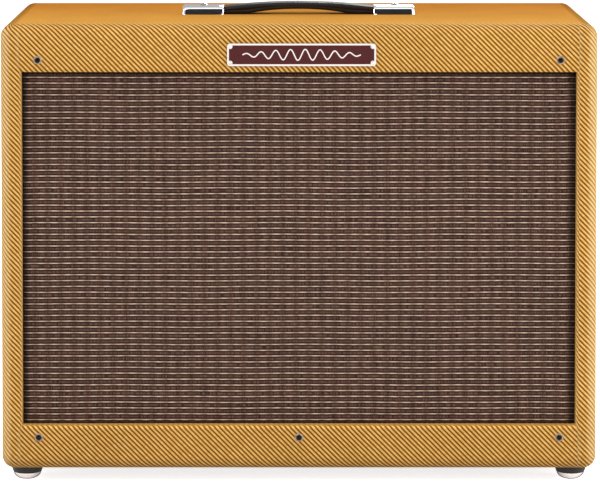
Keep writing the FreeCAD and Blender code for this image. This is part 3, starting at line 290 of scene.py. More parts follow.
# ------------------------------------------------------------------ materials
def twill_material():
    m = Mat("twill_covering")
    uv = m.uv()
    # the cloth is never laid perfectly straight
    wob = m.noise(uv, 9.0, 2.0, 0.5, colour=True)
    wv = m.sep(wob)
    ox, oy = m.sep(uv)[0], m.sep(uv)[1]
    u = m.math("ADD", ox, m.math("MULTIPLY", m.math("SUBTRACT", wv[0], 0.5), 0.0016))
    v = m.math("ADD", oy, m.math("MULTIPLY", m.math("SUBTRACT", wv[1], 0.5), 0.0016))
    s = m.math("DIVIDE", m.math("ADD", u, v), 0.00505)          # across the wales
    d = m.math("DIVIDE", m.math("SUBTRACT", u, v), 0.00505)     # along the wales
    f = m.math("FRACT", s)
    tri = m.math("ABSOLUTE", m.math("SUBTRACT", f, 0.5))         # 0.5 in the groove, 0 on the crest
    wale = m.remap(tri, 0.14, 0.375, 1.0, 0.0, smooth=True)
    # the two yarn systems: short floats lying across the wales
    yarn = m.math("SINE", m.math("MULTIPLY", m.math("DIVIDE", u, 0.00062), 6.28318))
    yarn2 = m.math("SINE", m.math("MULTIPLY", m.math("DIVIDE", v, 0.00058), 6.28318))
    thread = m.math("ADD", m.math("MULTIPLY", m.math("MULTIPLY", yarn, wale), 0.5), m.math("MULTIPLY", m.math("MULTIPLY", yarn2, m.math("SUBTRACT", 1.0, wale)), 0.5))
    cell = m.comb(m.math("FLOOR", s), m.math("FLOOR", m.math("MULTIPLY", d, 1.35)))
    slub = m.white(cell)
    slub2 = m.noise(m.comb(m.math("MULTIPLY", u, 160.0), m.math("MULTIPLY", v, 900.0)), 1.0, 2.0)
    slub3 = m.noise(m.comb(m.math("MULTIPLY", u, 900.0), m.math("MULTIPLY", v, 160.0)), 1.0, 2.0)
    big = m.noise(uv, 14.0, 3.0, 0.55)
    bright = m.mix(slub, srgb(229, 176, 94), srgb(242, 196, 118))
    dark = m.mix(slub3, srgb(110, 62, 1), srgb(146, 90, 10))
    c = m.mix(wale, dark, bright)
    k = m.math("ADD", 0.75, m.math("MULTIPLY", slub2, 0.17))
    k = m.math("ADD", k, m.math("MULTIPLY", m.math("SUBTRACT", big, 0.5), 0.22))
    k = m.math("ADD", k, m.math("MULTIPLY", thread, 0.10))
    # seen at a grazing angle the lacquer and the yarn crests even the stripes out to a warm amber; that amber also
    # carries painted light, lighter at the front and painted shade towards the back
    lw = m.n("LayerWeight")
    lw.inputs[0].default_value = 0.5
    graze = m.remap(lw.outputs["Facing"], 0.72, 0.92, 0.0, 1.0, smooth=True)
    oy_ = m.sep(m.obj())[1]
    c = m.mix(m.math("MULTIPLY", graze, 0.85), c, m.mix(m.remap(oy_, -0.12, 0.12, 0.0, 1.0), srgb(229, 167, 76), srgb(198, 120, 36)))
    # painted shade: darker towards the lowest edge and the rail above it, where less light falls
    k = m.math("MULTIPLY", k, m.remap(m.sep(m.obj())[2], Z0 + 0.001, Z0 + 0.015, 0.72, 1.0, smooth=True))
    k = m.math("MULTIPLY", k, m.remap(m.sep(m.obj())[2], Z0 + 0.030, Z0 + 0.085, 0.945, 1.0, smooth=True))
    nrm = m.sep(m.n("TexCoord").outputs["Normal"])
    shoulder = m.math("MULTIPLY", m.remap(m.math("ABSOLUTE", m.sep(m.obj())[0]), X1 - R - 0.0045, X1 - R + 0.0015, 0.0, 1.0, smooth=True), m.remap(nrm[2], 0.10, 0.35, 0.0, 1.0, smooth=True))
    shoulder = m.math("MULTIPLY", shoulder, m.remap(m.math("ABSOLUTE", nrm[1]), 0.12, 0.40, 1.0, 0.0, smooth=True))
    k = m.math("MULTIPLY", k, m.math("SUBTRACT", 1.0, m.math("MULTIPLY", shoulder, 0.36)))      # painted shade: the top's side roundovers are a little browner, where less light falls
    # painted highlight: upright roundovers are mixed paler, as a sheen along them
    edge_sheen = m.math("MULTIPLY", m.math("ABSOLUTE", nrm[0]), m.math("ABSOLUTE", nrm[1]))
    c = m.mix(m.remap(edge_sheen, 0.10, 0.48, 0.0, 0.19, smooth=True), c, srgb(250, 228, 178))
    # painted light: the turned-in edge along the bottom of the opening is brightened, as lit from above
    op = m.sep(m.obj())
    ledge_light = m.math("MULTIPLY", m.remap(op[2], GR_Z0 - 0.0035, GR_Z0 - 0.0008, 0.0, 1.0, smooth=True), m.remap(op[2], GR_Z0 + 0.0012, GR_Z0 + 0.0022, 1.0, 0.0, smooth=True))
    ledge_light = m.math("MULTIPLY", ledge_light, m.math("MULTIPLY", m.remap(m.math("ABSOLUTE", op[0]), GR_X - 0.001, GR_X + 0.001, 1.0, 0.0), m.remap(op[1], 0.0, -0.05, 0.0, 1.0)))
    k = m.math("MULTIPLY", k, m.math("ADD", 1.0, m.math("MULTIPLY", ledge_light, 0.36)))
    c = m.scaled(c, k)
    h = m.math("ADD", m.math("MULTIPLY", wale, 1.0), m.math("MULTIPLY", thread, 0.22))
    h = m.math("ADD", h, m.math("MULTIPLY", slub2, 0.25))
    nb = m.bump(h, 0.00022, 0.8)
    nb = m.bump(big, 0.0016, 0.25, nb)
    clear = m.math("SUBTRACT", 1.0, m.math("MULTIPLY", graze, 0.85))
    m.set(Base_Color=c, Roughness=m.remap(slub2, 0, 1, 0.45, 0.65), Normal=nb, Coat_Weight=m.math("MULTIPLY", m.math("MULTIPLY", clear, clear), 0.05), Coat_Roughness=0.3,
          Specular_IOR_Level=0.06, Specular_Tint=(1.0, 0.78, 0.45, 1), IOR=m.math("SUBTRACT", 1.45, m.math("MULTIPLY", graze, 0.44)))
    m.put(m.b.inputs["Coat Normal"], m.bump(h, 0.00010, 0.5))
    return m


def grille_material():
    m = Mat("grille_weave")
    uv = m.uv()
    u, v = m.sep(uv)[0], m.sep(uv)[1]
    row = m.math("DIVIDE", v, 0.00586)
    wav = m.math("MULTIPLY", m.math("SINE", m.math("MULTIPLY", m.math("DIVIDE", u, 0.0131), 6.28318)), 0.018)
    jit = m.math("MULTIPLY", m.math("SUBTRACT", m.noise(m.comb(m.math("MULTIPLY", u, 210.0), m.math("FLOOR", row)), 1.0, 2.0), 0.5), 0.10)
    p = m.math("FRACT", m.math("ADD", m.math("ADD", row, wav), jit))
    near = m.math("MINIMUM", p, m.math("SUBTRACT", 1.0, p))       # 0 on the metallic cord
    cord = m.remap(near, 0.055, 0.125, 1.0, 0.0, smooth=True)
    mid = m.remap(m.math("ABSOLUTE", m.math("SUBTRACT", p, 0.5)), 0.10, 0.27, 1.0, 0.0, smooth=True)
    # weft picks: the cord surfaces in long floats, the ground in short ones
    seg = m.math("DIVIDE", u, 0.0131)
    fl = m.math("ADD", 0.5, m.math("MULTIPLY", m.math("SINE", m.math("MULTIPLY", seg, 6.28318)), 0.5))
    rowid = m.math("FLOOR", m.math("ADD", row, 0.5))
    jn = m.noise(m.comb(m.math("MULTIPLY", u, 130.0), m.math("MULTIPLY", rowid, 3.7)), 1.0, 2.0, 0.6)
    cordc = m.mix(m.math("ADD", m.math("MULTIPLY", fl, 0.55), m.math("MULTIPLY", jn, 0.45)), srgb(118, 92, 68), srgb(226, 204, 182))
    warp = m.noise(m.comb(m.math("MULTIPLY", u, 620.0), m.math("MULTIPLY", v, 70.0)), 1.0, 2.0, 0.6)
    warp2 = m.noise(m.comb(m.math("MULTIPLY", u, 240.0), m.math("MULTIPLY", v, 18.0)), 1.0, 2.0, 0.6)
    warp = m.remap(warp, 0.34, 0.66, 0.0, 1.0)
    warp2 = m.remap(warp2, 0.34, 0.66, 0.0, 1.0)
    midc = m.mix(warp, srgb(52, 28, 22), srgb(112, 82, 73))
    darkc = m.mix(warp2, srgb(24, 8, 2), srgb(60, 34, 22))
    c = m.mix(mid, darkc, midc)
    # fine warp threads crossing everything
    th = m.math("SINE", m.math("MULTIPLY", m.math("DIVIDE", u, 0.00085), 6.28318))
    th2 = m.math("SINE", m.math("MULTIPLY", m.math("DIVIDE", v, 0.00073), 6.28318))
    c = m.scaled(c, m.math("ADD", 0.86, m.math("MULTIPLY", m.math("ADD", th, th2), 0.10)))
    tint = m.noise(uv, 22.0, 2.0, 0.5)
    c = m.mix(m.math("MULTIPLY", m.remap(tint, 0.35, 0.7, 0.0, 1.0), 0.35), c, m.scaled(c, 1.35))
    c = m.mix(cord, c, cordc)
    # the frame keeps the light off the cloth's border
    op = m.sep(m.obj())
    ax = m.remap(m.math("ABSOLUTE", op[0]), GR_X - 0.0092, GR_X - 0.0022, 1.0, 0.28, smooth=True)
    at = m.remap(op[2], GR_Z1 - 0.0050, GR_Z1 - 0.0018, 1.0, 0.2, smooth=True)
    ab = m.remap(op[2], GR_Z0 + 0.0006, GR_Z0 + 0.0026, 0.35, 1.0, smooth=True)
    c = m.scaled(c, m.math("MULTIPLY", m.math("MULTIPLY", ax, at), ab))
    h = m.math("ADD", m.math("MULTIPLY", cord, 1.0), m.math("MULTIPLY", mid, 0.55))
    h = m.math("ADD", h, m.math("MULTIPLY", m.math("ADD", th, th2), 0.14))
    h = m.math("ADD", h, m.math("MULTIPLY", jn, 0.25))
    m.set(Base_Color=c, Roughness=m.math("SUBTRACT", 0.78, m.math("MULTIPLY", cord, 0.38)), Metallic=m.math("MULTIPLY", cord, 0.25),
          Normal=m.bump(h, 0.00035, 0.7), Specular_IOR_Level=0.12)
    return m


def metal(name, colour, rough, grain=0.0, dirt=0.15, aniso=0.0, brushed=None, clean=False):
    m = Mat(name)
    o = m.obj()
    nz = m.noise(o, 380.0, 4.0, 0.6)
    smudge = m.noise(o, 46.0, 3.0, 0.6)
    c = m.mix(m.math("MULTIPLY", m.remap(smudge, 0.42, 0.72, 0.0, 1.0), dirt), colour, m.scaled(colour, 0.62))
    r = m.math("ADD", m.remap(smudge, 0.3, 0.75, rough * 0.8, rough * 1.55), m.math("MULTIPLY", nz, 0.04))
    if brushed is not None:
        st = m.noise(m.vmul(o, brushed), 1.0, 3.0, 0.6)
        r = m.math("ADD", r, m.math("MULTIPLY", m.math("SUBTRACT", st, 0.5), 0.25))
        nrm = m.bump(st, 0.00006, 0.35)
    else:
        nrm = m.bump(smudge, 0.00002, 0.2) if clean else m.bump(nz, 0.00005, 0.25 + grain)
    m.set(Base_Color=c, Metallic=1.0, Roughness=r, Normal=nrm, Anisotropic=aniso)
    return m


def plastic(name, colour, rough, grain_scale=900.0, grain=0.25, coat=0.0, dust=0.05):
    m = Mat(name)
    o = m.obj()
    g = m.noise(o, grain_scale, 3.0, 0.6)
    sm = m.noise(o, 60.0, 3.0, 0.6)
    c = m.mix(m.math("MULTIPLY", m.remap(sm, 0.45, 0.75, 0.0, 1.0), dust), colour, srgb(120, 112, 102))
    m.set(Base_Color=c, Roughness=m.remap(sm, 0.3, 0.7, rough * 0.85, rough * 1.25), Normal=m.bump(g, 0.00008, grain), Coat_Weight=coat, Coat_Roughness=0.12)
    return m


def wood(name, light, dark, axis=(1, 0, 0), plies=None, rough=0.6, knots=True):
    """Sawn softwood or ply. axis: grain direction; plies: (axis index, thickness) shows ply edges."""
    m = Mat(name)
    o = m.obj()
    sc = [42.0, 42.0, 42.0]
    for i in range(3):
        if axis[i]:
            sc[i] = 3.2
    g = m.noise(m.vmul(o, tuple(sc)), 1.0, 4.0, 0.55, 0.9)
    ring = m.math("FRACT", m.math("MULTIPLY", g, 7.0))
    ring = m.remap(m.math("ABSOLUTE", m.math("SUBTRACT", ring, 0.5)), 0.0, 0.5, 0.0, 1.0, smooth=True)
    sc2 = [900.0, 900.0, 900.0]
    for i in range(3):
        if axis[i]:
            sc2[i] = 30.0
    fib = m.noise(m.vmul(o, tuple(sc2)), 1.0, 3.0, 0.6)
    c = m.mix(m.math("MULTIPLY", ring, 0.75), light, dark)
    c = m.mix(m.math("MULTIPLY", fib, 0.35), c, m.scaled(c, 0.62))
    if plies is not None:
        k = m.math("FRACT", m.math("DIVIDE", m.sep(o)[plies[0]], plies[1] * 2))
        pl = m.math("GREATER_THAN", k, 0.5)
        nz = m.math("ABSOLUTE", m.sep(m.n("TexCoord").outputs["Normal"])[plies[0]])
        edge = m.math("MULTIPLY", pl, m.math("LESS_THAN", nz, 0.5))
        c = m.mix(m.math("MULTIPLY", edge, 0.55), c, m.scaled(dark, 0.55))
    m.set(Base_Color=c, Roughness=m.remap(fib, 0, 1, rough, rough + 0.2), Normal=m.bump(m.math("ADD", fib, m.math("MULTIPLY", ring, 0.3)), 0.00015, 0.5), Specular_IOR_Level=0.35)
    return m


MT = {}
MT["twill"] = twill_material()
MT["grille"] = grille_material()
MT["nickel"] = metal("nickel_plate", srgb(226, 222, 214), 0.11, dirt=0.12, clean=True)
MT["glide"] = metal("glide_nickel", srgb(232, 224, 222), 0.13, dirt=0.10, clean=True)      # painted dark reflection: the domes darken quickly towards their outline
_gl = MT["glide"]
_gw = _gl.n("LayerWeight")
_gw.inputs[0].default_value = 0.5
_gc = _gl.b.inputs["Base Color"].links[0].from_socket
# painted dark reflection: the base colour is scaled down towards the dome's outline
_gl.set(Base_Color=_gl.scaled(_gc, _gl.remap(_gw.outputs["Facing"], 0.50, 0.86, 1.0, 0.22, smooth=True)), Specular_Tint=(0.25, 0.25, 0.25, 1))
MT["chrome"] = metal("chrome_plate", srgb(238, 238, 238), 0.04, dirt=0.06, clean=True)


def screw_material():
    """Aged nickel, with the cross recess and the middle of the head painted near black as shade and dark reflection.
    """
    m = Mat("aged_nickel_screw")
    o = m.obj()
    s = m.sep(o)
    sm = m.noise(o, 300.0, 3.0, 0.6)
    best = None
    for x, z in SCREWS:
        d = m.math("SQRT", m.math("ADD", m.math("POWER", m.math("ABSOLUTE", m.math("SUBTRACT", s[0], x)), 2.0), m.math("POWER", m.math("ABSOLUTE", m.math("SUBTRACT", s[2], z)), 2.0)))
        best = d if best is None else m.math("MINIMUM", best, d)
    painted_dark_centre = m.remap(m.math("ADD", best, m.math("MULTIPLY", m.math("SUBTRACT", sm, 0.5), 0.0008)), 0.0024, 0.0034, 1.0, 0.0, smooth=True)
    m.set(Base_Color=m.mix(painted_dark_centre, m.mix(sm, srgb(122, 100, 84), srgb(176, 156, 138)), srgb(20, 12, 12)), Metallic=m.math("SUBTRACT", 1.0, painted_dark_centre),
          Roughness=m.remap(sm, 0.3, 0.7, 0.25, 0.42), Normal=m.bump(sm, 0.00006, 0.4), Specular_IOR_Level=0.2)
    return m


MT["screw"] = screw_material()
MT["zinc"] = metal("zinc_steel", srgb(176, 178, 176), 0.34, grain=0.2, dirt=0.25)
MT["chassis"] = metal("chassis_steel", srgb(186, 190, 194), 0.36, dirt=0.2, brushed=(18.0, 700.0, 700.0))
MT["basket"] = plastic("basket_enamel", srgb(38, 41, 44), 0.3, 300.0, 0.6, coat=0.4)
MT["black_steel"] = plastic("black_enamel", srgb(26, 26, 28), 0.32, 500.0, 0.35, coat=0.2)
MT["rubber"] = plastic("black_rubber", srgb(15, 13, 12), 0.62, 700.0, 0.5, dust=0.05)


def knob_material():
    """Black phenolic with the pointer's groove filled white."""
    m = Mat("knob_black_with_pointer")
    o = m.obj()
    s = m.sep(o)
    g = m.noise(o, 1200.0, 3.0, 0.6)
    sm = m.noise(o, 70.0, 3.0, 0.6)
    dx = None
    for x in KNOB_X.values():
        d = m.math("ABSOLUTE", m.math("SUBTRACT", s[0], x * 1.0))
        dx = d if dx is None else m.math("MINIMUM", dx, d)
    line = m.math("MULTIPLY", m.math("LESS_THAN", dx, 0.00056), m.math("MULTIPLY", m.math("GREATER_THAN", s[2], PANEL_Z + 0.0045), m.math("GREATER_THAN", s[1], FACE_Y + 0.0150)))
    base = m.mix(m.math("MULTIPLY", m.remap(sm, 0.5, 0.8, 0.0, 1.0), 0.1), srgb(20, 19, 19), srgb(74, 68, 62))
    m.set(Base_Color=m.mix(line, base, srgb(238, 232, 216)), Roughness=m.remap(sm, 0.3, 0.7, 0.2, 0.3), Normal=m.bump(g, 0.00005, 0.12), Coat_Weight=0.25, Coat_Roughness=0.12)
    return m


MT["knob"] = knob_material()
MT["phenolic"] = plastic("black_phenolic", srgb(20, 19, 19), 0.22, 1200.0, 0.12, coat=0.3)
MT["brown_phenolic"] = plastic("brown_phenolic", srgb(74, 40, 26), 0.3, 900.0, 0.2, coat=0.2)
MT["ferrite"] = plastic("ferrite", srgb(50, 50, 52), 0.55, 500.0, 0.6, dust=0.15)
MT["cable"] = plastic("cable_jacket", srgb(28, 27, 27), 0.45, 600.0, 0.3)


def colour_only(name, colour, rough, scale=500.0, strength=0.5, dist=0.00012, sheen=0.0):
    m = Mat(name)
    o = m.obj()
    n1 = m.noise(o, scale, 4.0, 0.65)
    n2 = m.noise(o, scale * 0.12, 3.0, 0.6)
    c = m.scaled(colour, m.remap(m.math("ADD", m.math("MULTIPLY", n1, 0.5), m.math("MULTIPLY", n2, 0.5)), 0.3, 0.7, 0.75, 1.2))
    m.set(Base_Color=c, Roughness=rough, Normal=m.bump(n1, dist, strength), Sheen_Weight=sheen)
    return m


MT["felt"] = colour_only("pressed_fibre", srgb(70, 64, 58), 0.9, 900.0, 0.9, 0.0002, 0.3)
MT["copper"] = metal("enamelled_copper", srgb(190, 110, 62), 0.25, brushed=(60.0, 4200.0, 60.0))
MT["fibre_board"] = colour_only("phenolic_board", srgb(128, 84, 52), 0.45, 260.0, 0.3)


def cone_material():
    m = Mat("paper_cone")
    o = m.obj()
    s = m.sep(o)
    dx, dz = s[0], m.math("SUBTRACT", s[2], SPK_Z)
    r = m.math("SQRT", m.math("ADD", m.math("MULTIPLY", dx, dx), m.math("MULTIPLY", dz, dz)))
    rib = m.math("SINE", m.math("MULTIPLY", r, 2 * math.pi / 0.0085))
    inner = m.remap(r, 0.075, 0.08, 0.0, 1.0)
    fib = m.noise(o, 700.0, 4.0, 0.7)
    c = m.mix(fib, srgb(34, 32, 31), srgb(66, 62, 58))
    m.set(Base_Color=c, Roughness=0.85, Normal=m.bump(m.math("ADD", m.math("MULTIPLY", m.math("MULTIPLY", rib, inner), 1.6), fib), 0.0004, 0.6))
    return m


MT["cone"] = cone_material()


def spider_material():
    m = Mat("spider_cloth")
    o = m.obj()
    s = m.sep(o)
    wx = m.math("SINE", m.math("MULTIPLY", s[0], 2 * math.pi / 0.0012))
    wz = m.math("SINE", m.math("MULTIPLY", s[2], 2 * math.pi / 0.0012))
    w = m.math("MULTIPLY", wx, wz)
    c = m.mix(m.remap(w, -1, 1, 0, 1), srgb(126, 84, 36), srgb(206, 158, 88))
    m.set(Base_Color=c, Roughness=0.6, Normal=m.bump(w, 0.00025, 0.7), Sheen_Weight=0.2)
    return m


MT["spider"] = spider_material()


def doped_material():
    m = Mat("doped_surround")
    o = m.obj()
    n1 = m.noise(o, 420.0, 4.0, 0.7)
    m.set(Base_Color=m.mix(n1, srgb(30, 24, 20), srgb(58, 48, 38)), Roughness=m.remap(n1, 0.3, 0.7, 0.35, 0.65), Normal=m.bump(n1, 0.0003, 0.6), Coat_Weight=0.15)
    return m


MT["doped"] = doped_material()


def strap_material():
    m = Mat("moulded_strap")
    o = m.obj()
    pebble = m.voronoi(o, 1150.0, "SMOOTH_F1")
    n2 = m.noise(o, 240.0, 3.0, 0.6)
    wear = m.noise(o, 34.0, 3.0, 0.6)
    c = m.mix(n2, srgb(14, 8, 6), srgb(34, 20, 15))
    c = m.mix(m.math("MULTIPLY", m.remap(wear, 0.5, 0.8, 0.0, 1.0), 0.12), c, srgb(70, 56, 48))
    m.set(Base_Color=c, Roughness=m.remap(wear, 0.3, 0.7, 0.36, 0.5), Normal=m.bump(m.math("ADD", m.math("MULTIPLY", pebble, 0.7), m.math("MULTIPLY", n2, 0.3)), 0.00018, 0.35),
          Specular_IOR_Level=0.24)
    lw = m.n("LayerWeight")
    lw.inputs[0].default_value = 0.5
    m.set(IOR=m.math("SUBTRACT", 1.46, m.math("MULTIPLY", m.remap(lw.outputs["Facing"], 0.70, 0.97, 0.0, 1.0, smooth=True), 0.36)))
    return m


MT["strap"] = strap_material()


def badge_material():
    m = Mat("badge_enamel_and_metal")
    o = m.obj()
    y = m.sep(o)[1]
    raised = m.math("LESS_THAN", y, YF - 0.00005 - 0.00172)
    fleck = m.noise(o, 1500.0, 3.0, 0.6)
    field = m.mix(fleck, srgb(64, 18, 18), srgb(86, 30, 28))
    silver = srgb(244, 232, 228)
    m.set(Base_Color=m.mix(raised, field, silver), Metallic=m.math("MULTIPLY", raised, 0.25),
          Roughness=m.math("ADD", 0.36, m.math("MULTIPLY", raised, 0.04)), Normal=m.bump(fleck, 0.00005, 0.3), Coat_Weight=m.math("SUBTRACT", 0.15, m.math("MULTIPLY", raised, 0.15)), Coat_Roughness=0.15, Specular_IOR_Level=0.25)
    return m


MT["badge"] = badge_material()
PINE_L, PINE_D = srgb(222, 184, 132), srgb(186, 136, 82)
MT["pine_x"] = wood("pine_along_x", PINE_L, PINE_D, (1, 0, 0))
MT["pine_z"] = wood("pine_along_z", PINE_L, PINE_D, (0, 0, 1))
MT["ply"] = wood("ply_board", srgb(214, 178, 128), srgb(170, 122, 74), (1, 0, 0), plies=(1, 0.0018))


def baffle_material():
    m = Mat("baffle_black")
    o = m.obj()
    fib = m.noise(m.vmul(o, (14.0, 600.0, 420.0)), 1.0, 3.0, 0.6)
    wear = m.noise(o, 26.0, 4.0, 0.6)
    c = m.mix(fib, srgb(20, 19, 18), srgb(40, 37, 34))
    c = m.mix(m.math("MULTIPLY", m.remap(wear, 0.62, 0.78, 0.0, 1.0), 0.4), c, srgb(86, 66, 46))
    m.set(Base_Color=c, Roughness=0.8, Normal=m.bump(fib, 0.0002, 0.5))
    return m


MT["baffle"] = baffle_material()


def panel_material():
    m = Mat("panel_face")
    o = m.obj()
    st = m.noise(m.vmul(o, (9.0, 500.0, 900.0)), 1.0, 4.0, 0.65)
    sm = m.noise(o, 30.0, 3.0, 0.6)
    c = m.mix(st, srgb(176, 176, 174), srgb(206, 205, 202))
    c = m.mix(m.math("MULTIPLY", m.remap(sm, 0.5, 0.8, 0, 1), 0.25), c, srgb(140, 134, 124))
    m.set(Base_Color=c, Metallic=1.0, Roughness=m.math("ADD", 0.24, m.math("MULTIPLY", st, 0.16)), Normal=m.bump(st, 0.00005, 0.35), Anisotropic=0.4)
    return m


MT["panel"] = panel_material()
MT["print"] = colour_only("panel_print", srgb(22, 22, 24), 0.5, 900.0, 0.2)


def glass_material(name, colour, rough=0.02, tint=None):
    m = Mat(name)
    o = m.obj()
    n1 = m.noise(o, 90.0, 2.0, 0.5)
    m.set(Base_Color=colour, Roughness=m.remap(n1, 0.3, 0.7, rough, rough + 0.03), Transmission_Weight=1.0, IOR=1.45)
    return m


def valve_glass_material():
    """Clear glass with the silvery getter mirror on the closed end."""
    m = Mat("valve_envelope")
    o = m.obj()
    z = m.sep(o)[2]
    nz = m.noise(o, 130.0, 2.0, 0.5)
    # octal valves end lower than the small ones, so each has its own mirror height
    x = m.sep(o)[0]
    small = m.math("LESS_THAN", x, -0.075)
    lim = m.math("ADD", PANEL_Z0 - 0.0640, m.math("MULTIPLY", small, 0.0210))
    edge = m.math("ADD", lim, m.math("MULTIPLY", m.math("SUBTRACT", nz, 0.5), 0.008))
    g = m.math("MULTIPLY", m.math("SUBTRACT", edge, z), 900.0, clamp=True)
    m.set(Base_Color=m.mix(g, (0.93, 0.96, 0.96, 1), (0.50, 0.49, 0.47, 1)), Roughness=m.math("ADD", 0.015, m.math("MULTIPLY", g, 0.1)),
          Transmission_Weight=m.math("SUBTRACT", 1.0, g), Metallic=m.math("MULTIPLY", g, 0.9), IOR=1.45, Alpha=m.math("ADD", 0.32, m.math("MULTIPLY", g, 0.68)))
    return m


MT["valve_glass"] = valve_glass_material()
MT["valve_metal"] = metal("valve_plates", srgb(92, 92, 96), 0.42, grain=0.3)


def jewel_material():
    m = Mat("red_jewel")
    o = m.obj()
    n1 = m.noise(o, 300.0, 2.0, 0.5)
    m.set(Base_Color=m.mix(n1, (0.70, 0.010, 0.012, 1), (0.85, 0.03, 0.02, 1)), Roughness=0.06, Transmission_Weight=0.55, IOR=1.5, Coat_Weight=0.5)
    m.put(m.b.inputs["Emission Color"], (0.8, 0.02, 0.01, 1))
    m.put(m.b.inputs["Emission Strength"], 0.15)
    return m


MT["jewel"] = jewel_material()

# ------------------------------------------------------------------ cabinet covering
N_ARC = 7
TANS = [math.tan(math.radians(45.0 * i / N_ARC)) for i in range(N_ARC + 1)]


def axis_params(h, r, inner_breaks, step):
    """Parameters along a cube axis from -h to h: tan-spaced in the rounded ends, breaks and even cells between."""
    flat = h - r
    pts = sorted(set([round(-flat, 7), round(flat, 7)] + [round(b, 7) for b in inner_breaks if abs(b) < flat - 1e-6]))
    full = []
    for a, b in zip(pts[:-1], pts[1:]):
        n = max(1, int(math.ceil((b - a) / step)))
        full += [a + (b - a) * i / n for i in range(n)]
    full.append(pts[-1])
    lo = [-(flat + r * t) for t in TANS[:0:-1]]
    hi = [flat + r * t for t in TANS[1:]]
    return np.array(lo + full + hi)


def near_lines(c, offs=(0.0, 0.0022, 0.0036, 0.0052, 0.0075)):
    return [c + s * o for o in offs for s in (-1, 1)]


def rounded_cover(name, half, centre, r, openings, breaks, step, mat, uv_fn, displace=None, thick=0.0009, lips=None, node=None):
    """A box skin with rounded edges, open on the Y faces named in openings: {-1 or 1: (x0, x1, z0, z1)} in row metres.
    lips: {-1 or 1: (rx, ry, rz, depth, steps)} turn the cloth over the opening's edge and run it inwards."""
    h = np.array(half)
    c = np.array(centre)
    P = [axis_params(h[i], r, [b - c[i] for b in breaks[i]], step[i]) for i in range(3)]
    verts, index = [], {}

    def vid(key, pos):
        k = tuple(round(q * 1e6) for q in key)
        if k not in index:
            index[k] = len(verts)
            verts.append(pos)
        return index[k]

    def shape(p):
        inner = np.clip(p, -(h - r), h - r)
        d = p - inner
        n = np.linalg.norm(d)
        if n < 1e-9:
            return p + c, np.zeros(3)
        return inner + d / n * r + c, d / n

    faces, info = [], []
    for axis in range(3):
        a, b = [(1, 2), (0, 2), (0, 1)][axis]
        for side in (-1, 1):
            hole = openings.get(side) if axis == 1 else None
            if hole is not None:
                rx, ry, rz = lips[side][:3]
                hx0, hx1, hz0, hz1 = hole[0] - rx, hole[1] + rx, hole[2] - rz, hole[3] + rz
            for i in range(len(P[a]) - 1):
                for j in range(len(P[b]) - 1):
                    if hole is not None:
                        cx, cz = (P[a][i] + P[a][i + 1]) / 2 + c[0], (P[b][j] + P[b][j + 1]) / 2 + c[2]
                        if hx0 < cx < hx1 and hz0 < cz < hz1:
                            continue
                    quad = []
                    for ii, jj in ((i, j), (i + 1, j), (i + 1, j + 1), (i, j + 1)):
                        p = np.zeros(3)
                        p[axis], p[a], p[b] = side * h[axis], P[a][ii], P[b][jj]
                        pos, d = shape(p)
                        quad.append((vid(p, pos), p))
                    if (side > 0) == (axis == 1):
                        quad = quad[::-1]
                    faces.append([q[0] for q in quad])
                    info.append((axis, side, [q[1] for q in quad], 0.0))
    # turned-over lips
    for side, hole in openings.items():
        rx, ry, rz, depth, steps = lips[side]
        y_face = side * h[1]
        hx0, hx1, hz0, hz1 = hole[0] - rx - c[0], hole[1] + rx - c[0], hole[2] - rz - c[2], hole[3] + rz - c[2]
        xs = [q for q in P[0] if hx0 - 1e-7 <= q <= hx1 + 1e-7]
        zs = [q for q in P[2] if hz0 - 1e-7 <= q <= hz1 + 1e-7]
        ring = [(x, hz0, 0) for x in xs[:-1]] + [(hx1, z, 1) for z in zs[:-1]] + [(x, hz1, 2) for x in xs[:0:-1]] + [(hx0, z, 3) for z in zs[:0:-1]]
        prof = [(math.sin(math.radians(90 * k / steps)), 1 - math.cos(math.radians(90 * k / steps))) for k in range(steps + 1)]
        rows = [(s, q * ry) for s, q in prof] + [(1.0, ry + (depth - ry) * k / 3) for k in (1, 2, 3)]
        prev = None
        arc = 0.0
        for k, (s, dep) in enumerate(rows):
            x0, x1, z0, z1 = hx0 + rx * s, hx1 - rx * s, hz0 + rz * s, hz1 - rz * s
            ids = []
            for (x, z, e) in ring:
                q = np.array([min(max(x, x0), x1), y_face - side * dep, min(max(z, z0), z1)])
                if k == 0:
                    p = np.array([x, y_face, z])
                    ids.append(vid(p, shape(p)[0]))
                else:
                    ids.append(vid(np.array([q[0] + 7, q[1], q[2]]), q + c))
            if prev is not None:
                step_arc = math.hypot((rows[k][0] - rows[k - 1][0]) * (rx + rz) / 2, rows[k][1] - rows[k - 1][1])
                for t in range(len(ring)):
                    u = (t + 1) % len(ring)
                    f = [prev[t], prev[u], ids[u], ids[t]]
                    if side > 0:
                        f = f[::-1]
                    faces.append(f)
                    e = ring[t][2]
                    pt = [np.array([ring[t][0], y_face, ring[t][1]]), np.array([ring[u][0], y_face, ring[u][1]])]
                    arcs = [(pt[0], arc), (pt[1], arc), (pt[1], arc + step_arc), (pt[0], arc + step_arc)]
                    if side > 0:
                        arcs = arcs[::-1]
                    info.append((3 + e, side, arcs, 0.0))
                arc += step_arc
            prev = ids
    verts = np.array(verts)
    uvs = []
    for inf in info:
        uvs += uv_fn(inf, h, c, r)
    if displace is not None:
        verts = displace(verts)
    ob = add_mesh(name, verts, faces, mat, uvs=uvs, sharp=None, node=node)
    solid = ob.modifiers.new("thickness", "SOLIDIFY")
    solid.thickness = thick
    solid.offset = -1.0
    solid.use_even_offset = True
    return ob


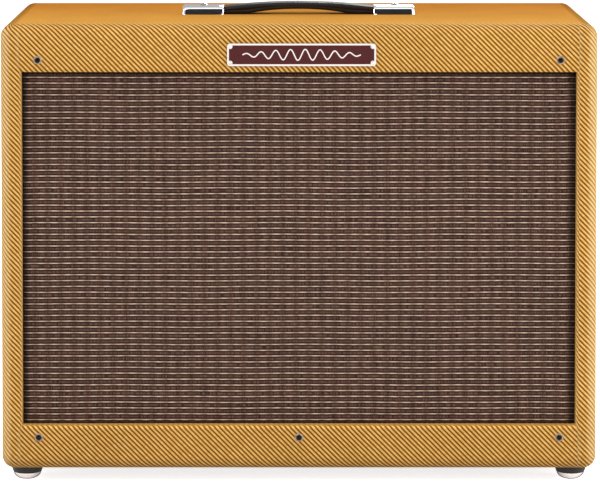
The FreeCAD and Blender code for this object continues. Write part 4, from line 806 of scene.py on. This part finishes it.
def wrap_uv(inf, h, c, r):
    """Twill coordinates: the wrap runs up the left side, over the top and down the right; the front rails carry their own piece."""
    axis, side, pts, _ = inf
    fx, fy, fz = h - r
    q4 = math.pi / 2 * r
    if axis >= 3:
        e = axis - 3
        out = []
        for p, arc in pts:
            if side > 0 and e in (0, 2):        # at the back the wrap's own cloth is turned in, top and bottom
                sgn = 1.0 if e == 2 else -1.0
                out.append((sgn * (fz + q4 + fx + p[0]), -(fy + q4 + fz - sgn * p[2] + arc)))
            elif e in (0, 2):        # rails
                v = (p[2] + c[2]) + (arc if e == 0 else -arc)
                out.append((p[0] if side < 0 else -p[0], v))
            else:
                u = p[0] + (-arc if e == 1 else arc)
                out.append((u if side < 0 else -u, p[2] + c[2]))
        return out
    mid = sum(pts) / len(pts)

    def direction(p):
        d = p - np.clip(p, -(h - r), h - r)
        n = np.linalg.norm(d)
        return d / n if n > 1e-9 else None

    dm = direction(mid)
    out = []
    rail = side < 0 and axis == 1 and abs(mid[0]) < SEAM_X
    if axis == 2 and abs(mid[0]) < SEAM_X and mid[1] < -fy:
        rail = True
    if rail:
        for p in pts:
            v = p[2] + c[2]
            if abs(mid[2]) > fz:
                d = direction(p)
                b = math.atan2(abs(d[2]), -d[1]) if d is not None else 0.0
                v = math.copysign(fz + r * b, mid[2]) + c[2]
            out.append((p[0] + c[0], v))
        return out
    total = 2 * fz + 2 * q4 + 2 * fx
    if mid[1] < -fy or (axis == 1 and side < 0):
        # front borders: the cloth comes round the edge and lies flat right into the corners
        for p in pts:
            d = direction(p)
            xa, za = abs(p[0]), p[2]
            if d is not None and abs(mid[0]) > fx:
                xa = fx + r * math.atan2(abs(d[0]), max(-d[1], 1e-9))
            if d is not None and abs(mid[2]) > fz:
                za = math.copysign(fz + r * math.atan2(abs(d[2]), max(-d[1], 1e-9)), mid[2])
            w = fy + q4 + fx - xa
            out.append((za, w) if mid[0] < 0 else (total - za, w))
        return out
    if axis == 1 and abs(mid[0]) < IN_X and abs(mid[2]) <= fz:
        # back edge of the top and bottom boards: the same cloth, straight on over the edge
        sgn = 1.0 if mid[2] > 0 else -1.0
        return [(sgn * (fz + q4 + fx + p[0]), -(fy + q4 + fz - abs(p[2]))) for p in pts]
    for p in pts:
        d = direction(p)
        if d is None:
            d = np.zeros(3)
        # depth coordinate
        if abs(mid[1]) > fy and abs(mid[0]) <= fx and abs(mid[2]) <= fz and axis == 1:
            phi, extra = math.pi / 2, (fx - abs(p[0]))
            t = math.copysign(fy + r * phi + extra, mid[1])
        elif abs(mid[1]) > fy:
            phi = math.asin(max(-1.0, min(1.0, abs(d[1]))))
            t = math.copysign(fy + r * phi, mid[1])
        else:
            t = p[1]
        # wrap coordinate
        sx = 1.0 if mid[0] > 0 else -1.0
        sz = 1.0 if mid[2] > 0 else -1.0
        if abs(mid[0]) > fx and abs(mid[2]) > fz:
            lat, up = abs(d[0]), abs(d[2])
            if lat + up < 1e-6:
                lat, up = abs(dm[0]), abs(dm[2])
            th = math.atan2(up, lat)
            s = fz + r * th
        elif abs(mid[2]) > fz or (axis == 2):
            s = fz + q4 + (fx + p[0])       # runs on across the top
        else:
            s = p[2]
            if sx > 0:
                s = total - p[2]
            out.append((s, -t))
            continue
        if abs(mid[0]) > fx and abs(mid[2]) > fz:
            s = math.copysign(s, sz)
            if sx > 0:
                s = total - s
        elif sz < 0:
            s = -s
        out.append((s, -t))
    return out


def cover_shape(v):
    """Small real departures: seams at the rails, dimples at the screws, slightly drawn-in cloth."""
    v = v.copy()
    front = v[:, 1] < YF + 1e-5
    for x, z in SCREWS:
        rr = np.hypot(v[:, 0] - x, v[:, 2] - z)
        v[:, 1] += np.where(front & (rr < 0.007), 0.00045 * (1 - (rr / 0.007) ** 2) ** 2, 0)
        v[:, 1] += np.where(front & (rr < 0.0033), 0.0032, 0)      # the screw's hole, under its head
    seam = (np.abs(np.abs(v[:, 0]) - SEAM_X) < 1e-5) & (v[:, 1] < YF + 0.004) & ((v[:, 2] > GR_Z1 + 0.0031) | (v[:, 2] < GR_Z0 - 0.0031))
    v[:, 1] += np.where(seam, 0.00045, 0)
    # the lacquered cloth lies a hair uneven on the boards
    w = 0.00010 * (np.sin(v[:, 0] * 61 + v[:, 2] * 23) * np.sin(v[:, 2] * 47 - v[:, 1] * 39 + 1.3))
    side = np.abs(v[:, 0]) > X1 - 1e-5
    v[:, 0] -= np.where(side, np.sign(v[:, 0]) * (np.abs(w) + 0.00002), 0)
    top = v[:, 2] > ZT - 1e-5
    v[:, 2] -= np.where(top, np.abs(w), 0)
    return v


cab_half = (X1, YB, (ZT - Z0) / 2)
cab_c = (0.0, 0.0, (ZT + Z0) / 2)
bx, bz = [], []
for x, z in SCREWS:
    bx += near_lines(x)
    bz += near_lines(z)
bx += [s * q for s in (-1, 1) for q in (SEAM_X - 0.0005, SEAM_X, SEAM_X + 0.0005, GR_X, GR_X + 0.0014, IN_X - 0.001, IN_X + 0.0005)]
bz += [GR_Z0 - 0.003, GR_Z0, GR_Z1, GR_Z1 + 0.003, IN_Z0 - 0.0005, IN_Z1 + 0.0005, IN_Z0 + 0.001, IN_Z1 - 0.001]
covering = rounded_cover(
    "cabinet_covering_cloth", cab_half, cab_c, R,
    {-1: (-GR_X, GR_X, GR_Z0, GR_Z1), 1: (-IN_X + 0.001, IN_X - 0.001, IN_Z0 + 0.001, IN_Z1 - 0.001)},
    (bx, [], bz), (0.014, 0.014, 0.014), MT["twill"], wrap_uv, cover_shape,
    lips={-1: (0.0014, 0.0022, 0.003, 0.01215, 5), 1: (0.0015, 0.0015, 0.0015, 0.0145, 4)}, node="cabinet_covering")

# ------------------------------------------------------------------ lower back panel's own covering
BPX, BP_Y0, BP_Y1, BPZ0, BPZ1 = IN_X - 0.0026, 0.119, 0.131, IN_Z0 + 0.0026, Z0 + 0.154


def back_uv(inf, h, c, r):
    axis, side, pts, _ = inf
    out = []
    for p in pts:
        p = p[0] if isinstance(p, tuple) else p
        out.append((-(p[0] + c[0]), p[2] + c[2] + 0.002 * 0) if axis in (1, 3, 4, 5, 6) else ((-(p[1]), p[2] + c[2]) if axis == 0 else (-(p[0]), p[1])))
    return out


bp_half = (BPX + 0.001, (BP_Y1 + 0.001 - (BP_Y0 + 0.0001)) / 2, (BPZ1 - BPZ0) / 2 + 0.001)
bp_c = (0.0, (BP_Y1 + 0.001 + BP_Y0 + 0.0001) / 2, (BPZ0 + BPZ1) / 2)
back_cover = rounded_cover(
    "back_panel_cloth", bp_half, bp_c, 0.0035, {-1: (-BPX + 0.016, BPX - 0.016, BPZ0 + 0.016, BPZ1 - 0.016)},
    ([-BPX + 0.016, BPX - 0.016, -BPX + 0.0158, BPX - 0.0158], [], [BPZ0 + 0.016, BPZ1 - 0.016, BPZ0 + 0.0158, BPZ1 - 0.0158]), (0.02, 0.01, 0.02), MT["twill"], back_uv,
    lips={-1: (0.0002, 0.0002, 0.0002, 0.0006, 1)}, thick=0.0008)

# ------------------------------------------------------------------ grille cloth
PER = 0.00586


def grille_cloth():
    x0, x1, z0, z1 = -0.2785, 0.2785, GR_Z0 - 0.006, GR_Z1 + 0.006
    phases = (0.0, 0.13, 0.34, 0.5, 0.66, 0.87)
    lift = (0.00038, 0.00010, 0.0, 0.00016, 0.0, 0.00010)
    first = math.ceil(z0 / PER)
    last = math.floor(z1 / PER)
    zs, ys = [z0], [0.0]
    for k in range(first, last + 1):
        for p, l in zip(phases, lift):
            z = (k + p) * PER
            if z0 + 0.0003 < z < z1 - 0.0003:
                zs.append(z)
                ys.append(l)
    zs.append(z1)
    ys.append(0.0)
    zs, ys = np.array(zs), np.array(ys)
    nx = 171
    xs = np.linspace(x0, x1, nx)
    gx, gz = np.meshgrid(xs, zs)
    gy = np.repeat(ys[:, None], nx, 1)
    # cords drift a little, as woven; the cloth is drawn flat at its edges
    drift = 0.00012 * np.sin(gx * 2 * math.pi / 0.0131) + 0.00016 * np.sin(gx * 31 + gz * 9) + 0.00010 * np.sin(gx * 74 - gz * 37)
    edge = np.clip(np.minimum(np.minimum(gx - x0, x1 - gx), np.minimum(gz - z0, z1 - gz)) / 0.02, 0, 1)
    zz = gz + drift * edge
    yy = CLOTH_Y - gy * (0.75 + 0.25 * np.sin(gx * 2 * math.pi / 0.0131)) * np.clip(edge * 4, 0, 1)
    front = np.stack([gx, yy, zz], -1).reshape(-1, 3)
    nv = len(front)
    nz = len(zs)
    faces, uvs = [], []
    flat_uv = np.stack([gx, gz], -1).reshape(-1, 2)
    for j in range(nz - 1):
        for i in range(nx - 1):
            f = (j * nx + i, j * nx + i + 1, (j + 1) * nx + i + 1, (j + 1) * nx + i)
            faces.append(f)
            uvs += [flat_uv[q] for q in f]
    # rim and back, so that the cloth is a closed thin slab
    ring = [i for i in range(nx)] + [j * nx + nx - 1 for j in range(1, nz)] + [(nz - 1) * nx + i for i in range(nx - 2, -1, -1)] + [j * nx for j in range(nz - 2, 0, -1)]
    back = front[ring].copy()
    back[:, 1] = CLOTH_Y + 0.0009
    n = len(ring)
    for t in range(n):
        u = (t + 1) % n
        f = (ring[u], ring[t], nv + t, nv + u)
        faces.append(f)
        uvs += [flat_uv[ring[u]], flat_uv[ring[t]], flat_uv[ring[t]], flat_uv[ring[u]]]
    centre = front.mean(0)
    ci = nv + n
    for t in range(n):
        u = (t + 1) % n
        faces.append((nv + u, nv + t, ci))
        uvs += [flat_uv[ring[u]], flat_uv[ring[t]], (0.0, centre[2])]
    verts = np.concatenate([front, back, [[0.0, CLOTH_Y + 0.0009, centre[2]]]])
    return add_mesh("grille_cloth_woven", verts, faces, MT["grille"], uvs=uvs, sharp=None, node="grille_cloth")


grille_cloth()


# ------------------------------------------------------------------ handle strap
def strap_half(sign):
    nx, hx = 36, 0.0776
    xs = np.array([hx * (1 - (i / nx)) for i in range(nx + 1)])
    rings = []
    for x in xs:
        t = x / hx
        top = 0.0131 - (0.0131 - 0.0084) * t ** 2.0
        bot = 0.0052 * max(0.0, 1 - (t / 0.70) ** 2.2) + 0.00035
        hw = 0.0120 - 0.0004 * (1 - t)
        hgt = top - bot
        rt, rb = min(0.0030, hgt * 0.42), min(0.0020, hgt * 0.25)
        sec = []
        # crowned top, rounded shoulders with a moulded groove, flat underside
        crown = 0.0007
        for k in range(7):
            a = math.radians(90 * k / 6)
            sec.append((hw - rt + rt * math.cos(a), top - crown - rt + rt * math.sin(a)))
        for k in range(1, 8):
            y = (hw - rt) * (1 - 2 * k / 8)
            sec.append((y, top - crown * (y / (hw - rt)) ** 2))
        for k in range(7):
            a = math.radians(90 + 90 * k / 6)
            sec.append((-(hw - rt) + rt * math.cos(a), top - crown - rt + rt * math.sin(a)))
        zm = bot + hgt * 0.42
        sec += [(-hw, zm + 0.0005), (-hw + 0.0004, zm), (-hw, zm - 0.0005)]
        for k in range(5):
            a = math.radians(180 + 90 * k / 4)
            sec.append((-(hw - rb) + rb * math.cos(a), bot + rb + rb * math.sin(a)))
        for k in range(1, 5):
            sec.append((-(hw - rb) * (1 - 2 * k / 5), bot))
        for k in range(5):
            a = math.radians(270 + 90 * k / 4)
            sec.append(((hw - rb) + rb * math.cos(a), bot + rb + rb * math.sin(a)))
        sec += [(hw, zm - 0.0005), (hw - 0.0004, zm), (hw, zm + 0.0005)]
        rings.append([(sign * x, HANDLE_Y + y, ZT + z) for y, z in sec])
    m = len(rings[0])
    verts = [p for ring in rings for p in ring]
    faces = []
    for a in range(nx):
        for b in range(m):
            c = (b + 1) % m
            f = (a * m + b, a * m + c, (a + 1) * m + c, (a + 1) * m + b)
            faces.append(f if sign > 0 else f[::-1])
    cap0 = tuple(range(m))
    cap1 = tuple(nx * m + i for i in range(m))
    faces.append(cap0[::-1] if sign > 0 else cap0)
    faces.append(cap1 if sign > 0 else cap1[::-1])
    ob = add_mesh("handle_strap_" + ("right" if sign > 0 else "left"), verts, faces, MT["strap"], sharp=50, ride=False)
    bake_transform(ob)
    return ob


left_strap, right_strap = strap_half(-1), strap_half(1)
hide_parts("handle_strap")


# ------------------------------------------------------------------ handle end caps
CAP_IN, CAP_OUT, CAP_HALF = 0.0779, 0.1210, 0.0140


def end_cap(sign):
    """Pressed, plated cap: leaning sides, a tight shoulder and a crowned top, open towards the strap only."""
    def crown(y):
        return 0.00935 - 0.0022 * min(1.0, (y / 0.0125) ** 2)

    # (inset, height as a share of the crown at that place)
    prof = [(0.0, 0.0), (0.0001, 0.05), (0.00030, 0.28), (0.00062, 0.55), (0.00085, 0.74), (0.00105, 0.83), (0.00140, 0.90), (0.00190, 0.945), (0.00260, 0.975), (0.0034, 0.99), (0.0044, 1.0)]
    rings = []
    na, ns = 10, 9
    for inset, share in prof:
        half, xo, rr = CAP_HALF - inset, CAP_OUT - inset, max(0.0034 - inset * 0.3, 0.0020)
        plan = []
        xs = np.linspace(CAP_IN, xo - rr, ns)
        xs = np.concatenate([[CAP_IN, CAP_IN + 0.0005], xs[1:]])
        for i, x in enumerate(xs):
            plan.append((x, -(half - (0.0004 if i == 0 else 0.0))))
        for k in range(1, na + 1):
            a = math.radians(-90 + 90 * k / na)
            plan.append((xo - rr + rr * math.cos(a), -(half - rr) + rr * math.sin(a)))
        mid = []
        for k in range(1, 6):
            mid.append((xo + 0.0004 * (1 - (1 - k / 6 * 2) ** 2), -(half - rr) * (1 - k / 6 * 2)))      # the end is a touch full
        plan += mid
        plan += [(x, -y) for x, y in plan[: len(xs) + na][::-1]]
        drop = [0.0004 if i in (0, len(plan) - 1) else 0.0 for i in range(len(plan))]
        rings.append([(x, y, max(0.0, share * crown(y) - (d if share > 0.5 else 0.0))) for (x, y), d in zip(plan, drop)])
    m = len(rings[0])
    verts = [p for r in rings for p in r]
    faces = []
    for k in range(len(rings) - 1):
        for j in range(m - 1):
            a, b = k * m + j, k * m + j + 1
            faces.append((a, b, b + m, a + m))
    top0 = (len(rings) - 1) * m
    half_n = m // 2
    # top: rows across from front to back
    nrow = 7
    grid = []
    for j in range(half_n):
        a, b = verts[top0 + j], verts[top0 + m - 1 - j]
        row = [top0 + j]
        for t in range(1, nrow):
            y = a[1] + (b[1] - a[1]) * t / nrow
            z = crown(y) - (0.0004 if j == 0 else 0.0)
            row.append(len(verts))
            verts.append((a[0], y, z))
        row.append(top0 + m - 1 - j)
        grid.append(row)
    for j in range(half_n - 1):
        for t in range(nrow):
            faces.append((grid[j][t], grid[j + 1][t], grid[j + 1][t + 1], grid[j][t + 1]))
    # the crest of the outer end
    last = grid[-1]
    tip = top0 + half_n
    if m % 2:
        for t in range(nrow):
            faces.append((last[t], tip, last[t + 1]))
    else:
        faces.append(tuple(last))
    # underside and the end towards the strap
    faces.append(tuple(range(m))[::-1])
    end = [k * m for k in range(len(rings))] + grid[0][1:-1] + [k * m + m - 1 for k in range(len(rings) - 1, -1, -1)]
    faces.append(tuple(end))
    out = [(sign * x, HANDLE_Y + y, ZT + 0.00005 + z) for x, y, z in verts]
    if sign < 0:
        faces = [f[::-1] for f in faces]
    return np.array(out), faces


cap_v, cap_f = join_parts([end_cap(1), end_cap(-1)])
add_mesh("handle_end_caps_plated", cap_v, cap_f, MT["chrome"], sharp=38, node="handle_end_caps")

# ------------------------------------------------------------------ control panel print: dial marks and plain numbers
def bar(x, z, w, h, ang, y=FACE_Y, t=0.00006):
    c, s_ = math.cos(ang), math.sin(ang)
    pts = [(-w / 2, -h / 2), (w / 2, -h / 2), (w / 2, h / 2), (-w / 2, h / 2)]
    q = [(x + a * c - b * s_, z + a * s_ + b * c) for a, b in pts]
    v = [(a, y, b) for a, b in q] + [(a, y + t, b) for a, b in q]
    f = [(0, 1, 2, 3), (7, 6, 5, 4), (1, 0, 4, 5), (2, 1, 5, 6), (3, 2, 6, 7), (0, 3, 7, 4)]
    return np.array(v), f


SEG = {"0": "abcdef", "1": "bc", "2": "abged", "3": "abgcd", "4": "fgbc", "5": "afgcd", "6": "afgedc", "7": "abc", "8": "abcdefg", "9": "abcdfg"}


def digits(text, x, z, h):
    """Plain stroke numerals, read from behind the cabinet."""
    w, t = h * 0.52, h * 0.15
    parts = []
    n = len(text)
    for i, ch in enumerate(text):
        cx = (i - (n - 1) / 2) * (w + h * 0.26)
        segs = {"a": (0, h / 2 - t / 2, w, t), "g": (0, 0, w, t), "d": (0, -h / 2 + t / 2, w, t), "b": (w / 2 - t / 2, h / 4, t, h / 2 + t / 2), "c": (w / 2 - t / 2, -h / 4, t, h / 2 + t / 2),
                "f": (-w / 2 + t / 2, h / 4, t, h / 2 + t / 2), "e": (-w / 2 + t / 2, -h / 4, t, h / 2 + t / 2)}
        for k, sgm in enumerate(SEG[ch]):
            sx, sz, sw, sh = segs[sgm]
            if ch == "1":
                sx = 0.0
            parts.append(bar(x - (cx + sx), z + sz, sw, sh, 0.0, t=0.00005 + 0.000004 * k))
    return parts


marks = []
for kx in KNOB_X.values():
    for i in range(11):
        a = math.radians(150 - 30 * i)      # seen from behind, low at the lower left
        dx, dz = math.sin(a), math.cos(a)
        long_ = i in (0, 5, 10)
        r0 = 0.0148 if i != 5 else 0.0212
        r1 = r0 + (0.0022 if long_ else 0.0015)
        rm = (r0 + r1) / 2
        marks.append(bar(kx + dx * rm, PANEL_Z + dz * rm, 0.0004, r1 - r0, -a))
        if i != 5:
            marks += digits(str(i), kx + dx * 0.0192, PANEL_Z + dz * 0.0192, 0.0026)
# lines round the panel
for z in (PANEL_Z0 + 0.0045, PANEL_Z1 - 0.0045):
    marks.append(bar(0.0, z, 0.508, 0.0005, 0.0))
for x in (-0.254, 0.254):
    marks.append(bar(x, PANEL_Z, 0.0005, PANEL_Z1 - PANEL_Z0 - 0.009, 0.0, t=0.00007))
for i, x in enumerate(JACK_X):
    marks += digits(str(i + 1), x, PANEL_Z + 0.0165, 0.0034)
for x in TOGGLE_X:
    marks += digits("1", x, PANEL_Z + 0.0175, 0.0032) + digits("0", x, PANEL_Z - 0.0175, 0.0032)
mv, mf = join_parts(marks)
add_mesh("panel_print", mv, mf, MT["print"], sharp=30)

# ------------------------------------------------------------------ finishes on the CAD nodes
FIN = {
    "cabinet_top": "pine_x", "cabinet_bottom": "pine_x", "cabinet_side_left": "pine_z", "cabinet_side_right": "pine_z",
    "front_rails": "pine_x", "rear_cleats": "pine_x", "back_panel": "ply", "baffle_board": "baffle",
    "front_screws": "screw", "rear_screws": "nickel", "speaker_basket": "basket", "speaker_gasket": "felt",
    "speaker_surround": "doped", "speaker_cone": "cone", "speaker_dust_cap": "cone", "speaker_voice_coil": "copper",
    "speaker_spider": "spider", "speaker_magnet": "ferrite", "speaker_motor_plates": "zinc", "speaker_terminals": "fibre_board",
    "speaker_bolts": "zinc", "speaker_lead": "cable", "handle_strap_ends": "strap", "handle_end_caps": "chrome", "handle_screws": "nickel",
    "badge_plate": "badge", "badge_pins": "nickel", "foot_cushions": "rubber", "foot_glides": "glide",
    "amp_chassis": "chassis", "control_panel": "panel", "potentiometers": "zinc", "panel_nuts": "nickel", "phone_jacks": "phenolic",
    "toggle_switches": "nickel", "pilot_lamp": "jewel", "fuse_holder": "phenolic", "fuse_cap": "phenolic", "mains_inlet": "phenolic",
    "circuit_board": "fibre_board", "power_transformer": "black_steel", "output_transformer": "black_steel", "transformer_bolts": "zinc",
    "valve_sockets": "brown_phenolic", "valve_bases": "brown_phenolic", "valve_glass": "valve_glass", "valve_electrodes": "valve_metal",
    "power_switch_lever": "chrome", "standby_switch_lever": "chrome",
}
for k in KNOB_X:
    FIN["knob_" + k] = "knob"
    FIN["shaft_" + k] = "zinc"
for name, ob in NODES.items():
    key = FIN.get(name)
    if key is None:
        continue
    ob.data.materials.clear()
    ob.data.materials.append(MT[key].m)

# ------------------------------------------------------------------ stage, light, camera
floor_m = Mat("studio_floor")
fo = floor_m.obj()
floor_m.set(Base_Color=floor_m.mix(floor_m.noise(fo, 3.0, 2.0), (0.90, 0.90, 0.90, 1), (0.93, 0.93, 0.93, 1)), Roughness=0.7, Specular_IOR_Level=0.1)
floor_m.put(floor_m.b.inputs["Emission Color"], (1, 1, 1, 1))
rays = floor_m.n("LightPath").outputs
floor_m.put(floor_m.b.inputs["Emission Strength"], floor_m.math("ADD", floor_m.math("MULTIPLY", rays["Is Camera Ray"], 0.80), floor_m.math("MULTIPLY", rays["Is Glossy Ray"], 0.42)))
me = bpy.data.meshes.new("studio_floor")
S = 30.0
me.from_pydata([(-S, -S, 0), (S, -S, 0), (S, S, 0), (-S, S, 0)], [], [(0, 1, 2, 3)])
me.materials.append(floor_m.m)
floor = bpy.data.objects.new("studio_floor", me)
scene.collection.objects.link(floor)

world = bpy.data.worlds.new("studio")
scene.world = world
world.use_nodes = True
bg = world.node_tree.nodes["Background"]
bg.inputs[0].default_value = (1.0, 1.0, 1.0, 1)
wl = world.node_tree.nodes.new("ShaderNodeLightPath")
wm = world.node_tree.nodes.new("ShaderNodeMapRange")        # the eye sees a white room, the object is lit softly
wm.inputs[3].default_value, wm.inputs[4].default_value = 0.52, 1.05
world.node_tree.links.new(wl.outputs["Is Camera Ray"], wm.inputs[0])
world.node_tree.links.new(wm.outputs[0], bg.inputs[1])


def area(name, at, target, size, power, colour=(1, 1, 1)):
    d = bpy.data.lights.new(name, "AREA")
    d.shape = "RECTANGLE"
    d.size, d.size_y = size
    d.energy = power
    d.color = colour
    o = bpy.data.objects.new(name, d)
    o.location = at
    o.rotation_euler = (Vector(target) - Vector(at)).to_track_quat("-Z", "Y").to_euler()
    scene.collection.objects.link(o)
    return o


area("key", (-1.0, -2.2, 2.0), (0, 0, 0.25), (1.2, 1.2), 23)
area("fill", (1.7, -2.0, 1.3), (0, 0, 0.25), (1.4, 1.4), 20.5)
area("side_left", (-2.1, -0.22, 0.70), (-0.28, -0.05, 0.25), (0.6, 1.2), 15)
area("side_right", (2.1, -0.22, 0.70), (0.28, -0.05, 0.25), (0.6, 1.2), 21)
area("top", (0.0, -0.3, 2.3), (0, 0, 0.3), (2.2, 0.9), 11)
area("rear", (0.7, 2.4, 1.5), (0, 0, 0.25), (1.6, 1.2), 30)

# the dark side of the studio, behind the camera: what the plated parts mirror
flag_m = Mat("dark_flag")
flag_m.set(Base_Color=(0.02, 0.02, 0.02, 1), Roughness=1.0)
fme = bpy.data.meshes.new("dark_flag")
fme.from_pydata([(-1.0, -3.35, 0.03), (1.0, -3.35, 0.03), (1.0, -3.35, 2.3), (-1.0, -3.35, 2.3)], [], [(0, 1, 2, 3)])
fme.materials.append(flag_m.m)
flag = bpy.data.objects.new("dark_flag", fme)
flag.visible_diffuse = False
flag.visible_shadow = False
flag.visible_camera = False
scene.collection.objects.link(flag)

PHOTO_AT = (-0.01087, -(0.1335 + 2.7943), 0.464 + 0.26146)
cd = bpy.data.cameras.new("photo_camera")
cam = bpy.data.objects.new("photo_camera", cd)
scene.collection.objects.link(cam)
cd.sensor_width = 36.0
cd.lens = 2813.6 / 600 * 36
cd.clip_start, cd.clip_end = 0.05, 100.0
cam.location = PHOTO_AT
cam.rotation_euler = (math.pi / 2 - 0.0421, 0, 0)
scene.camera = cam
# the photograph is framed low through a camera held level: the shift belongs to that one viewpoint
for prop, value in (("shift_x", 0.0197), ("shift_y", -0.5997)):
    drv = cd.driver_add(prop).driver
    drv.type = "SCRIPTED"
    for axis, nm in (("LOC_X", "a"), ("LOC_Y", "b"), ("LOC_Z", "c")):
        var = drv.variables.new()
        var.name = nm
        var.type = "TRANSFORMS"
        var.targets[0].id = cam
        var.targets[0].transform_type = axis
        var.targets[0].transform_space = "WORLD_SPACE"
    drv.expression = "%.5f * (fabs(a - %.5f) + fabs(b - %.5f) + fabs(c - %.5f) < 0.002)" % ((value,) + PHOTO_AT)

scene.view_settings.view_transform = "Standard"
scene.view_settings.look = "None"
scene.cycles.use_denoising = True

bpy.context.view_layer.update()
